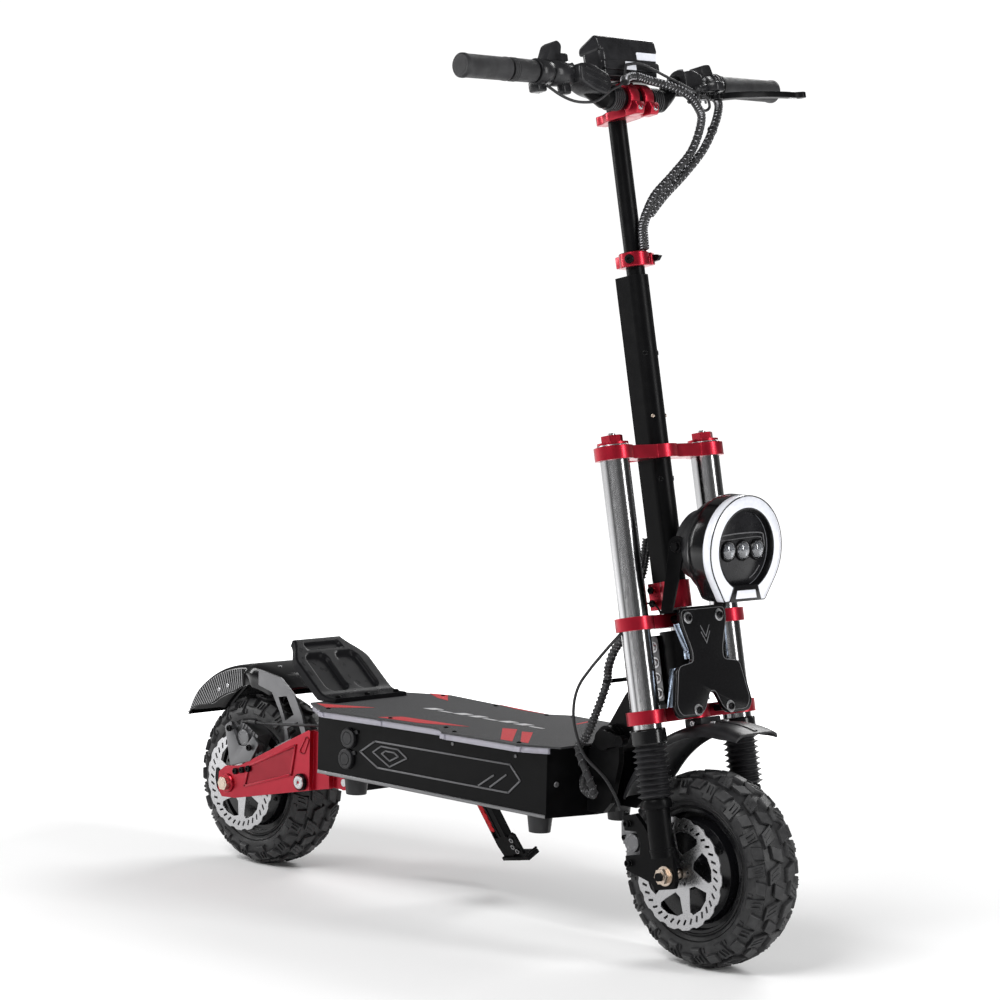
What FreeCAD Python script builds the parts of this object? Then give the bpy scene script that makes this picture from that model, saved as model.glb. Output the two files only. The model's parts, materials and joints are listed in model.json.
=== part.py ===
"""Electric kick scooter with a dual-crown telescopic fork, built as separate sub-parts.

Two local frames keep the numbers simple.  The chassis frame stands on the ground
under the rear axle: +X forward, +Y to the rider's left, +Z up.  The steering frame
starts at the front axle and leans back with the fork, so that its Z runs up the fork
tubes.  The final frame has its origin on the ground, in the middle of the scooter.
"""
import FreeCAD
import Part
import Sketcher
import math
import os
import re

V = FreeCAD.Vector
DOC = FreeCAD.newDocument("KickScooter")
SHEET = DOC.addObject("Spreadsheet::Sheet", "Dimensions")

# Driving dimensions in millimetres and degrees.
DIMENSIONS = [
    # Overall layout.
    ("wheel_base", 960), ("front_axle_x", 495), ("tail_reach", 170), ("fork_rake", 11.67),
    ("steer_axis_x", -3),
    # Wheels and brakes.
    ("tyre_radius", 140), ("tyre_width", 90), ("bead_radius", 88), ("rim_half_width", 34),
    ("axle_radius", 7), ("rotor_radius", 80), ("rotor_offset", 67.6), ("rotor_thickness", 2),
    ("stator_radius", 60), ("stator_half_width", 18), ("dropout_face", 96), ("dropout_thick", 8),
    # Deck.
    ("deck_rear_x", 232), ("deck_front_x", 732), ("deck_nose_x", 753), ("deck_half_width", 105),
    ("nose_half_width", 20), ("deck_bottom_z", 189), ("board_bottom_z", 293), ("board_thick", 3),
    ("deck_wall", 3), ("strip_thick", 9), ("battery_length", 350), ("battery_width", 180),
    ("battery_height", 72), ("port_radius", 13), ("port_depth", 16), ("foot_height", 26),
    ("foot_radius", 19),
    # Fold pivot and neck.
    ("fold_x", 788), ("fold_z", 306), ("fold_pin_radius", 8), ("fold_boss_radius", 20),
    ("cheek_inner_y", 31), ("cheek_thick", 10), ("neck_half_width", 30.5), ("running_gap", 0.05),
    ("head_tube_radius", 30), ("head_tube_low", 237), ("head_tube_high", 340),
    # Fork, in the steering frame.
    ("fork_half_spacing", 95.6), ("fork_tube_radius", 21), ("fork_tube_bore", 17.6),
    ("leg_radius", 17.5), ("leg_low", 26), ("leg_high", 330), ("tube_low", 190),
    ("tube_high", 607), ("collar_low", 183), ("collar_high", 206), ("collar_radius", 25),
    ("boot_low", 109), ("boot_radius", 25), ("crown_lobe_radius", 28), ("crown_half_depth", 16),
    ("lower_crown_z", 213), ("middle_crown_z", 345), ("upper_crown_z", 587), ("crown_thick", 19),
    ("steerer_radius", 13.5), ("steerer_low", 213), ("steerer_high", 445),
    # Column and stem.
    ("column_radius", 17), ("column_depth", 26), ("column_low", 411), ("column_high", 853),
    ("base_clamp_low", 372), ("height_clamp_low", 864), ("height_clamp_high", 887),
    ("clamp_radius", 21.5), ("stem_low", 660), ("stem_high", 1098), ("stem_radius", 13.5),
    # Handlebar, in the steering frame.
    ("bar_x", 30), ("bar_z", 1104), ("bar_radius", 15.9), ("bar_clamp_half", 24),
    ("grip_x", 21), ("grip_z", 1136), ("grip_bar_radius", 11), ("grip_radius", 16.5),
    ("bar_half_length", 328), ("bar_bend_y", 62), ("bar_outer_y", 108),
    # Headlight, in the chassis frame.
    ("lamp_face_x", 1009), ("lamp_z", 598), ("lamp_radius", 76), ("lamp_opening", 56),
    ("lamp_flat", 73), ("lamp_pivot_x", 929), ("lamp_back_radius", 50),
    # Rear suspension, in the chassis frame.
    ("swing_x", 262), ("swing_z", 174), ("swing_pin_radius", 6), ("shock_low_x", 181),
    ("shock_low_z", 166), ("shock_high_x", 216), ("shock_high_z", 268), ("arm_outer_y", 94),
    ("arm_inner_y", 77), ("eye_inner_y", 59), ("eye_radius", 12),
    # Kickstand pivot, in the chassis frame.
    ("stand_x", 380), ("stand_y", 90), ("stand_z", 172), ("stand_splay", 26.6),
    ("stand_length", 132),
    # Fenders.
    ("fender_half_width", 45), ("fender_skin", 3), ("front_fender_x", 36),
    ("front_fender_z", 24), ("front_fender_radius", 180), ("rear_fender_radius", 198),
    ("rear_fender_z", 130),
]
for row, (alias, number) in enumerate(DIMENSIONS, start=1):
    SHEET.set("A%d" % row, str(number))
    SHEET.setAlias("A%d" % row, alias)
DOC.recompute()

NODES = []


def expr(text):
    """Prefix every sheet alias in a formula with the sheet's name."""
    return re.sub(r"[a-z]+(?:_[a-z]+)+", lambda match: "Dimensions." + match.group(0), str(text))


def dim(text):
    """Value of a formula of sheet aliases."""
    return float(SHEET.evalExpression(expr(text)))


CHASSIS = "placement(vector(front_axle_x - wheel_base; 0; 0); rotation(vector(0; 1; 0); 0))"
STEERING = "placement(vector(front_axle_x; 0; tyre_radius); rotation(vector(0; 1; 0); -fork_rake))"
LAMP = "placement(vector(front_axle_x - wheel_base + lamp_face_x; 0; lamp_z); rotation(vector(0; 1; 0); 0))"
STAND = ("placement(vector(front_axle_x - wheel_base + stand_x; stand_y; stand_z); "
         "rotation(vector(1; 0; 0); stand_splay))")


def finish(item, label, frame):
    """Give a sub-part its name and its place, and list it for export."""
    if item.TypeId in ("PartDesign::Body", "Part::Box", "Part::Cylinder"):
        item = group(item)
    item.Label = label
    item.setExpression("Placement", expr(frame))
    NODES.append(item)
    return item


def name_of(kind):
    """Unused internal name for a helper object."""
    return "%s_%03d" % (kind, len(DOC.Objects))


TURNS = {"Z": FreeCAD.Rotation(), "X": FreeCAD.Rotation(V(0, 1, 0), 90),
         "Y": FreeCAD.Rotation(V(1, 0, 0), -90)}


def rod(radius, start, length, axis="Z"):
    """Cylinder from a start point along one axis; all sizes are formulas."""
    item = DOC.addObject("Part::Cylinder", name_of("rod"))
    item.Placement = FreeCAD.Placement(V(0, 0, 0), TURNS[axis])
    item.setExpression("Radius", expr(radius))
    item.setExpression("Height", expr(length))
    for letter, formula in zip("xyz", start):
        item.setExpression("Placement.Base." + letter, expr(formula))
    return item


def block(low, size):
    """Box from its lowest corner; all sizes are formulas."""
    item = DOC.addObject("Part::Box", name_of("block"))
    for prop, formula in zip(("Length", "Width", "Height"), size):
        item.setExpression(prop, expr(formula))
    for letter, formula in zip("xyz", low):
        item.setExpression("Placement.Base." + letter, expr(formula))
    return item


def cone(radius_low, radius_high, start, length, axis="Z"):
    """Truncated cone from a start point along one axis."""
    item = DOC.addObject("Part::Cone", name_of("cone"))
    item.Placement = FreeCAD.Placement(V(0, 0, 0), TURNS[axis])
    item.setExpression("Radius1", expr(radius_low))
    item.setExpression("Radius2", expr(radius_high))
    item.setExpression("Height", expr(length))
    for letter, formula in zip("xyz", start):
        item.setExpression("Placement.Base." + letter, expr(formula))
    return item


def fuse(*items):
    """Union of several objects."""
    item = DOC.addObject("Part::MultiFuse", name_of("fuse"))
    item.Shapes = list(items)
    return item


def cut(base, *tools):
    """A base with one or more tools taken away."""
    item = DOC.addObject("Part::Cut", name_of("cut"))
    item.Base = base
    item.Tool = tools[0] if len(tools) == 1 else fuse(*tools)
    return item


def group(*items):
    """Several separate solids in one sub-part."""
    item = DOC.addObject("Part::Compound", name_of("group"))
    item.Links = list(items)
    return item


def mirror(source):
    """The same piece on the other side of the middle plane."""
    item = DOC.addObject("Part::Mirroring", name_of("mirror"))
    item.Source = source
    item.Normal = V(0, 1, 0)
    return item


def outline(body, plane, points):
    """Closed sketch of straight lines on a body's own plane, each corner bound to formulas."""
    sketch = body.newObject("Sketcher::SketchObject", name_of("outline"))
    support = [item for item in body.Origin.OriginFeatures if item.Role == plane + "_Plane"][0]
    sketch.AttachmentSupport = (support, [""])
    sketch.MapMode = "FlatFace"
    corners = [V(dim(first), dim(second), 0) for first, second in points]
    count = len(corners)
    for index, corner in enumerate(corners):
        sketch.addGeometry(Part.LineSegment(corner, corners[(index + 1) % count]))
    for index in range(count):
        sketch.addConstraint(Sketcher.Constraint("Coincident", index, 2, (index + 1) % count, 1))
    for index, formulas in enumerate(points):
        for kind, formula in zip(("DistanceX", "DistanceY"), formulas):
            rule = Sketcher.Constraint(kind, -1, 1, index, 1, dim(formula))
            number = sketch.addConstraint(rule)
            sketch.setExpression("Constraints[%d]" % number, expr(formula))
    return sketch


def plate(plane, points, start, thick, pocket_depth=None, pocket_points=None):
    """Padded outline: XY outlines rise along Z from start, XZ outlines run along Y from start."""
    body = DOC.addObject("PartDesign::Body", name_of("plate"))
    pad = body.newObject("PartDesign::Pad", name_of("pad"))
    pad.Profile = outline(body, plane, points)
    pad.setExpression("Length", expr(thick))
    pad.Reversed = plane == "XZ"
    if pocket_points:
        pocket = body.newObject("PartDesign::Pocket", name_of("pocket"))
        pocket.Profile = outline(body, plane, pocket_points)
        pocket.Profile[0].setExpression("AttachmentOffset.Base.z", expr(thick))
        pocket.setExpression("Length", expr(pocket_depth))
    letter = "z" if plane == "XY" else "y"
    body.setExpression("Placement.Base." + letter, expr(start))
    return body


def both_sides(points):
    """Whole outline from its half at positive Y, listed from the rear to the front."""
    return points + [(x, "-(%s)" % y) for x, y in reversed(points)]


def shape_part(shape, label, frame):
    """Sub-part whose shape is computed from sheet values."""
    item = DOC.addObject("Part::Feature", label + "_shape")
    item.Shape = Part.makeCompound([shape])
    return finish(item, label, frame)


def ring(outer, inner, start, length, axis="Z"):
    """Tube with open ends."""
    return cut(rod(outer, start, length, axis), rod(inner, start, length, axis))


def polygon_face(points):
    """Flat face from 3-D points."""
    return Part.Face(Part.makePolygon([V(*point) for point in points] + [V(*points[0])]))


def revolve_y(points, centre_x, centre_z, angle=360):
    """Turn a radius/offset outline about a line along Y; a part turn starts at the rear."""
    face = polygon_face([(centre_x - radius, y, centre_z) for radius, y in points])
    return face.revolve(V(centre_x, 0, centre_z), V(0, 1, 0), angle)


def coil(radius, wire_radius, pitch, length):
    """Closed-up helical spring standing on the origin along Z."""
    helix = Part.makeHelix(pitch, length, radius)
    circle = Part.Wire(Part.makeCircle(wire_radius, V(radius, 0, 0), V(0, 1, 0)))
    return Part.Wire(helix).makePipeShell([circle], True, True)


# ---------------------------------------------------------------- wheels and brakes

def tyre_shape():
    """Closed tyre section turned about the axle, centred on the origin."""
    radius, half = dim("tyre_radius"), dim("tyre_width / 2")
    bead, rim = dim("bead_radius"), dim("rim_half_width")
    shoulder, wall = radius - 12, radius - 30
    section = [(bead, rim - 4), (bead + 4.6, rim - 1.6), (bead + 9, half - 3), (wall, half),
               (shoulder, half - 5), (radius, half - 17)]
    inside = [(radius - 16, half - 20), (wall - 4, half - 12), (bead + 8, half - 14), (bead, rim - 12)]
    points = section + [(r, -y) for r, y in reversed(section)]
    points += [(r, -y) for r, y in reversed(inside)] + inside
    return revolve_y(points, 0, 0)


def hub_shape():
    """Hub motor shell with its rim: two dished covers around an open stator space."""
    bead, rim, room = dim("bead_radius"), dim("rim_half_width"), dim("stator_radius + 2")
    gap, bore = dim("stator_half_width + 2"), dim("axle_radius + 0.05")
    flange, barrel, boss = bead + 4, bead - 4, 26
    half = [(bore, gap), (bore, 56), (boss, 56), (boss, 46), (72, 40), (76, rim - 8), (barrel - 2, rim - 8),
            (barrel, rim + 2), (flange, rim + 2), (flange, rim - 1), (bead - 0.2, rim - 3),
            (bead - 0.2, 10)]
    points = half + [(r, -y) for r, y in reversed(half)] + [(room, -gap), (room, gap)]
    body = revolve_y(points, 0, 0)
    seat = dim("rotor_offset - rotor_thickness / 2")
    spigot = Part.makeCylinder(24, seat - 55, V(0, -seat, 0), V(0, 1, 0))
    spigot = spigot.cut(Part.makeCylinder(bore, seat, V(0, -seat, 0), V(0, 1, 0)))
    return body.fuse(spigot).removeSplitter()


def rotor_shape():
    """Wavy brake disc: slotted band, six swept arms and a bolted centre."""
    radius, thick = dim("rotor_radius"), dim("rotor_thickness")
    face = -dim("rotor_offset") - thick / 2
    waves, slots, arms = 18, 36, 6
    disc = Part.makeCylinder(radius, thick, V(0, face, 0), V(0, 1, 0))
    disc = disc.cut(Part.makeCylinder(9, thick, V(0, face, 0), V(0, 1, 0)))
    tools = []
    for index in range(waves):
        angle = 2 * math.pi * index / waves
        centre = V((radius + 9.5) * math.cos(angle), face - 1, (radius + 9.5) * math.sin(angle))
        tools.append(Part.makeCylinder(12, thick + 2, centre, V(0, 1, 0)))
    for index in range(slots):
        angle = 360.0 * index / slots
        slot = Part.makeBox(9, thick + 2, 3.4, V(radius - 15.8, face - 1, -1.7))
        slot.rotate(V(radius - 11, 0, 0), V(0, 1, 0), 35)
        slot.rotate(V(0, 0, 0), V(0, 1, 0), angle)
        tools.append(slot)
    for index in range(arms):
        window = polygon_face([(radius - 20, face - 1, -14), (radius - 18, face - 1, 2),
                               (radius - 23, face - 1, 19),
                               (radius - 31, face - 1, 27), (30, face - 1, 14), (27, face - 1, 4),
                               (radius - 34, face - 1, -11), (radius - 26, face - 1, -16)])
        window = window.extrude(V(0, thick + 2, 0))
        window.rotate(V(0, 0, 0), V(0, 1, 0), 360.0 * index / arms)
        tools.append(window)
        bolt = Part.makeCylinder(2.6, thick + 2, V(17, face - 1, 0), V(0, 1, 0))
        bolt.rotate(V(0, 0, 0), V(0, 1, 0), 360.0 * index / arms)
        tools.append(bolt)
    return disc.cut(tools)


def caliper_shape(tilt, centre_x, centre_z):
    """Disc caliper astride the edge of the rotor, on a frame centred on the axle."""
    plane = -dim("rotor_offset")
    body = Part.makeBox(34, 30, 46, V(-17, plane - 17, -23))
    ears = Part.makeBox(14, 8, 68, V(-8, plane - 17, -34))
    knob = Part.makeCylinder(13, 7, V(-1, plane - 17, 0), V(0, -1, 0))
    arm = Part.makeBox(9, 8, 34, V(-26, plane - 14, -4))
    barrel = Part.makeCylinder(4, 16, V(-21.5, plane - 10, 26), V(0, 0, 1))
    bolts = [Part.makeCylinder(4, 30, V(-1, plane - 32, z), V(0, 1, 0)) for z in (-28, 28)]
    solid = body.fuse([ears, knob, arm, barrel] + bolts).removeSplitter()
    solid.rotate(V(0, 0, 0), V(0, 1, 0), tilt)
    solid.translate(V(centre_x, 0, centre_z))
    groove = Part.makeCylinder(dim("rotor_radius") + 3, 5, V(0, plane - 2.5, 0), V(0, 1, 0))
    return solid.cut(groove)


def axle_shape(face):
    """Threaded axle with a washer and a nut outside each dropout face."""
    radius, half = dim("axle_radius"), face + 12
    rod_solid = Part.makeCylinder(radius, 2 * half, V(0, -half, 0), V(0, 1, 0))
    pieces = []
    for side in (-1, 1):
        washer = Part.makeCylinder(14, 2.5, V(0, side * face, 0), V(0, side, 0))
        corners = [(11.5 * math.cos(math.pi * k / 3), 11.5 * math.sin(math.pi * k / 3)) for k in range(7)]
        nut = Part.makePolygon([V(x, side * (face + 2.5), z) for x, z in corners])
        pieces += [washer, Part.Face(nut).extrude(V(0, side * 9, 0))]
    return rod_solid.fuse(pieces)


def stator_shape():
    """Motor winding ring fixed to the axle."""
    half, radius, bore = dim("stator_half_width"), dim("stator_radius"), dim("axle_radius")
    core = Part.makeCylinder(radius, 2 * half, V(0, -half, 0), V(0, 1, 0))
    teeth = []
    for index in range(18):
        slot = Part.makeBox(12, 2 * half + 2, 5, V(radius - 11, -half - 1, -2.5))
        slot.rotate(V(0, 0, 0), V(0, 1, 0), index * 20.0)
        teeth.append(slot)
    return core.cut(teeth + [Part.makeCylinder(bore, 3 * half, V(0, -1.5 * half, 0), V(0, 1, 0))])


def caliper_bolt_holes(tilt, centre_x, centre_z, axle_z="0"):
    """Holes through a mounting plate for a caliper's two bolts."""
    turn = math.radians(tilt)
    holes = []
    for rise in (-28, 28):
        x = centre_x - math.cos(turn) + rise * math.sin(turn)
        z = centre_z + math.sin(turn) + rise * math.cos(turn)
        holes.append(rod("4", (x, "-120", "%s + %f" % (axle_z, z)), "60", "Y"))
    return holes


REAR_AXLE = "placement(vector(front_axle_x - wheel_base; 0; tyre_radius); rotation(vector(0; 1; 0); 0))"
for place_word, place_frame, face_y in (("front", STEERING, "dropout_face"),
                                        ("rear", REAR_AXLE, "arm_outer_y")):
    shape_part(tyre_shape(), place_word + "_tyre", place_frame)
    shape_part(hub_shape(), place_word + "_hub", place_frame)
    shape_part(rotor_shape(), place_word + "_rotor", place_frame)
    shape_part(axle_shape(dim(face_y)), place_word + "_axle", place_frame)
    shape_part(stator_shape(), place_word + "_stator", place_frame)

# Tilt of each caliper in degrees, and its centre from the axle.
FRONT_CALIPER = (7, -61, 49)
REAR_CALIPER = (-63, 35, 79)
shape_part(caliper_shape(*FRONT_CALIPER), "front_caliper", STEERING)
shape_part(caliper_shape(*REAR_CALIPER), "rear_caliper", REAR_AXLE)

# ---------------------------------------------------------------- deck

SHELL_HALF = [("deck_rear_x", "deck_half_width"), ("deck_front_x", "deck_half_width"),
              ("deck_nose_x", "nose_half_width")]
INNER_HALF = [("deck_rear_x + deck_wall", "deck_half_width - deck_wall"),
              ("deck_front_x - deck_wall", "deck_half_width - deck_wall"),
              ("deck_nose_x - deck_wall", "nose_half_width - deck_wall")]
BOARD_HALF = [("deck_rear_x - 24", "101"), ("deck_rear_x + 42", "139"), ("deck_rear_x + 161", "126"),
              ("deck_rear_x + 284", "117"), ("deck_rear_x + 313", "138"), ("deck_rear_x + 465", "132"),
              ("deck_nose_x + 3", "101")]
STRIP_HALF = [("deck_rear_x - 22", "60"), ("deck_rear_x - 22", "99"), ("deck_rear_x + 42", "137"),
              ("deck_rear_x + 161", "124"), ("deck_rear_x + 284", "115"), ("deck_rear_x + 313", "136"),
              ("deck_rear_x + 465", "130"), ("deck_front_x + 6", "109"),
              ("deck_front_x + 6", "deck_half_width + 0.3"), ("deck_rear_x - 0.5", "deck_half_width + 0.3"),
              ("deck_rear_x - 0.5", "60")]

SHELL_HEIGHT = "(board_bottom_z - deck_bottom_z)"
shell = plate("XY", both_sides(SHELL_HALF), "deck_bottom_z", SHELL_HEIGHT,
              SHELL_HEIGHT + " - deck_wall", both_sides(INNER_HALF))
PORT_PLACES = ((306, 253), (301, 220))
ports = [rod("port_radius", (x, "-deck_half_width - 1", z), "deck_wall + 2", "Y") for x, z in PORT_PLACES]
finish(cut(shell, *ports), "deck_shell", CHASSIS)

finish(plate("XY", both_sides(BOARD_HALF), "board_bottom_z", "board_thick"), "deck_board", CHASSIS)

strip = plate("XY", STRIP_HALF, "board_bottom_z - strip_thick", "strip_thick")
finish(group(strip, mirror(strip)), "light_strips", CHASSIS)

finish(block(("deck_rear_x + 90", "-battery_width / 2", "deck_bottom_z + deck_wall + 2"),
             ("battery_length", "battery_width", "battery_height")), "battery_pack", CHASSIS)

CONTROLLER_X = "deck_rear_x + 96 + battery_length"
controllers = [block((CONTROLLER_X, y, "deck_bottom_z + deck_wall"), (48, 72, 42)) for y in (-80, 8)]
finish(group(*controllers), "motor_controllers", CHASSIS)

port_bodies = []
for port_x, port_z in PORT_PLACES:
    barrel = rod("port_radius - 0.2", (port_x, "-deck_half_width - 2", port_z), "port_depth", "Y")
    rim = rod("port_radius + 3", (port_x, "-deck_half_width - 3", port_z), "2.9", "Y")
    socket = rod("port_radius - 4", (port_x, "-deck_half_width - 4", port_z), "port_depth - 4", "Y")
    port_bodies.append(cut(fuse(barrel, rim), socket))
finish(group(*port_bodies), "charge_ports", CHASSIS)

FOOT_PLACES = [(x, y) for x in (300, 700) for y in (-84, 84)]
feet = [cone("foot_radius - 3", "foot_radius", (x, y, "deck_bottom_z - foot_height"), "foot_height")
        for x, y in FOOT_PLACES if (x, y) != (300, 84)]
finish(group(*feet), "rubber_feet", CHASSIS)


def footrest_shape():
    """Upswept rear footrest: bent plate with two long pockets and a slot near the top."""
    base = dim("board_bottom_z + board_thick")
    low, mid, high = V(236, 0, base), V(196, 0, base + 2), V(112, 0, base + 80)
    thick, half_low, half_high = 14.0, 76.0, 62.0
    slope = (high - mid).normalize()
    normal = V(slope.z, 0, -slope.x)
    back = [mid - normal * thick, high - normal * thick]
    profile = [low, V(low.x, 0, base + 7), V(204, 0, base + 9), high, high + V(-8, 0, 1),
               back[1] + V(-4, 0, -2), V(back[0].x, 0, base + 6), V(186, 0, base)]
    wire = Part.makePolygon([point + V(0, -half_low, 0) for point in profile + profile[:1]])
    solid = Part.Face(wire).extrude(V(0, 2 * half_low, 0))
    along_slope = FreeCAD.Rotation(V(1, 0, 0), slope)
    for side in (-1, 1):
        corner = polygon_face([(0, side * (half_high - 16), base + 90),
                               (0, side * (half_high + 1), base + 66),
                               (0, side * half_low, base + 20), (0, side * 130, base + 20),
                               (0, side * 130, base + 90)])
        solid = solid.cut(corner.extrude(V(300, 0, 0)))
        window = Part.makeBox(70, 40, 12, V(-35, -20, -6))
        window = window.makeFillet(9, [edge for edge in window.Edges if abs(edge.Length - 12) < 0.1])
        centre = (mid + high) * 0.5 + normal * 5 - slope * 3 + V(0, side * 29, 0)
        window.Placement = FreeCAD.Placement(centre, along_slope)
        solid = solid.cut(window)
    slot = Part.makeBox(9, 64, 12, V(-4.5, -32, -6))
    slot.Placement = FreeCAD.Placement(high - slope * 12 + normal * 2, along_slope)
    return solid.cut(slot)


shape_part(footrest_shape(), "rear_footrest", CHASSIS)

# Brackets bolted to the deck: fold cheeks, swing-arm lug, shock anchor and stand lug.
CHEEK_SIDE = [("deck_nose_x + 0.3", "deck_bottom_z + 8"), ("deck_nose_x + 0.3", "board_bottom_z - 3"),
              ("deck_nose_x + 4", "board_bottom_z - 3"), ("fold_x - 18", "fold_z + 9"),
              ("fold_x + 19", "fold_z + 6"), ("fold_x + 26", "fold_z - 6"), ("fold_x + 26", "fold_z - 32"),
              ("fold_x + 12", "fold_z - 92"), ("fold_x - 4", "deck_bottom_z + 8")]
cheek = plate("XZ", CHEEK_SIDE, "cheek_inner_y", "cheek_thick")
cheek_boss = rod("fold_boss_radius", ("fold_x", "cheek_inner_y", "fold_z"), "cheek_thick", "Y")
base_plate = block(("deck_nose_x + 0.3", "-cheek_inner_y - cheek_thick", "deck_bottom_z + 8"),
                   ("6", "2 * (cheek_inner_y + cheek_thick)", "board_bottom_z - deck_bottom_z - 11"))
pin_hole = rod("fold_pin_radius", ("fold_x", "-60", "fold_z"), "120", "Y")
fold_cheeks = cut(fuse(cheek, cheek_boss, mirror(cheek), mirror(cheek_boss), base_plate), pin_hole)

swing_lug = fuse(block(("swing_x - 18", "-eye_inner_y + 0.5", "deck_bottom_z - 6"),
                       ("36", "2 * eye_inner_y - 1", "5.8")),
                 block(("swing_x - 14", "-eye_inner_y + 0.5", "swing_z - 14"),
                       ("28", "2 * eye_inner_y - 1", "deck_bottom_z - swing_z + 13")))
swing_lug = cut(swing_lug, rod("swing_pin_radius", ("swing_x", "-70", "swing_z"), "140", "Y"))
anchor_parts = []
for side in (-1, 1):
    ear_y = 15.2 if side > 0 else -21.2
    anchor_parts.append(rod("9", ("shock_high_x", ear_y, "shock_high_z"), "6", "Y"))
    anchor_parts.append(block(("shock_high_x", ear_y, "shock_high_z - 9"),
                              ("deck_rear_x - shock_high_x", "6", "18")))
anchor_parts.append(block(("deck_rear_x - 5", "-30", "shock_high_z - 16"), ("4.8", "60", "32")))
shock_anchor = fuse(*anchor_parts, rod("4", ("shock_high_x", "-23", "shock_high_z"), "46", "Y"))


def stand_lug_shape():
    """Fork-shaped lug under the deck for the kickstand, with its pivot bolt."""
    solids = [Part.makeBox(20, 4.6, 36, V(-10, side * 9.8 - 2.3, -9)) for side in (-1, 1)]
    solids.append(Part.makeCylinder(4, 30, V(0, -15, 0), V(0, 1, 0)))
    lug = solids[0].fuse(solids[1:])
    lug.rotate(V(0, 0, 0), V(1, 0, 0), dim("stand_splay"))
    lug.translate(V(dim("stand_x"), dim("stand_y"), dim("stand_z")))
    top = dim("deck_bottom_z - 0.1")
    tray = Part.makeBox(48, 46, 4, V(dim("stand_x") - 24, dim("stand_y") - 34, top - 4))
    below = Part.makeBox(200, 200, 100, V(dim("stand_x") - 100, dim("stand_y") - 100, top - 100))
    return lug.fuse(tray).common(below)


stand_lug = DOC.addObject("Part::Feature", "stand_lug")
stand_lug.Shape = stand_lug_shape()
finish(group(fold_cheeks, swing_lug, shock_anchor, stand_lug), "deck_brackets", CHASSIS)

fold_pin = fuse(rod("fold_pin_radius", ("fold_x", "-cheek_inner_y - cheek_thick", "fold_z"),
                    "2 * (cheek_inner_y + cheek_thick)", "Y"),
                rod("12", ("fold_x", "cheek_inner_y + cheek_thick", "fold_z"), "5", "Y"))
swing_pin = rod("swing_pin_radius", ("swing_x", "-arm_inner_y", "swing_z"), "2 * arm_inner_y", "Y")
finish(group(fold_pin, swing_pin), "hinge_pins", CHASSIS)

latch_hub = rod("15", ("fold_x", "-cheek_inner_y - cheek_thick - 9", "fold_z"), "8.9", "Y")
LATCH_SIDE = [("fold_x - 8", "fold_z - 9"), ("fold_x + 10", "fold_z - 11"), ("fold_x + 42", "fold_z - 1"),
              ("fold_x + 46", "fold_z + 8"), ("fold_x + 34", "fold_z + 9"), ("fold_x", "fold_z + 14")]
latch_arm = plate("XZ", LATCH_SIDE, "-cheek_inner_y - cheek_thick - 9", "6")
latch_tab = rod("8", ("fold_x + 38", "-cheek_inner_y - cheek_thick - 15", "fold_z + 3"), "12", "Y")
finish(fuse(latch_hub, latch_arm, latch_tab), "fold_latch", CHASSIS)

# ---------------------------------------------------------------- neck and steering, steering frame

# Fold pivot seen from the front axle in the steering frame.
FOLD_DX = "(fold_x - wheel_base)"
FOLD_DZ = "(fold_z - tyre_radius)"
PIVOT_X = "(%s * cos(fork_rake * 1 deg) + %s * sin(fork_rake * 1 deg))" % (FOLD_DX, FOLD_DZ)
PIVOT_Z = "(-%s * sin(fork_rake * 1 deg) + %s * cos(fork_rake * 1 deg))" % (FOLD_DX, FOLD_DZ)

neck = plate("XZ", [(PIVOT_X + " - 14", PIVOT_Z + " + 16"), ("-104", "258"), ("-62", "290"),
                    ("steer_axis_x - 16", "head_tube_high - 14"), ("steer_axis_x - 16", "head_tube_low"),
                    ("-62", "head_tube_low"), (PIVOT_X + " + 14", PIVOT_Z + " - 16")],
             "-neck_half_width + 8", "2 * neck_half_width - 16")
neck_boss = rod("fold_boss_radius + 1", (PIVOT_X, "-neck_half_width", PIVOT_Z), "2 * neck_half_width", "Y")
head_shell = rod("head_tube_radius", ("steer_axis_x", "0", "head_tube_low"),
                 "head_tube_high - head_tube_low")
rail = block(("-37", "-head_tube_radius - 1", "head_tube_low + 2"),
             ("16", "12", "head_tube_high - head_tube_low - 6"))
head_bore = rod("21", ("steer_axis_x", "0", "head_tube_low - 5"), "head_tube_high - head_tube_low + 10")
neck_bore = rod("fold_pin_radius + running_gap", (PIVOT_X, "-60", PIVOT_Z), "120", "Y")
finish(cut(fuse(neck, neck_boss, head_shell, rail), head_bore, neck_bore), "head_tube", STEERING)

bearings = [ring("21", "steerer_radius + running_gap", ("steer_axis_x", "0", z), "12")
            for z in ("head_tube_low + 1", "head_tube_high - 13")]
finish(group(*bearings), "head_bearings", STEERING)


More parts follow.
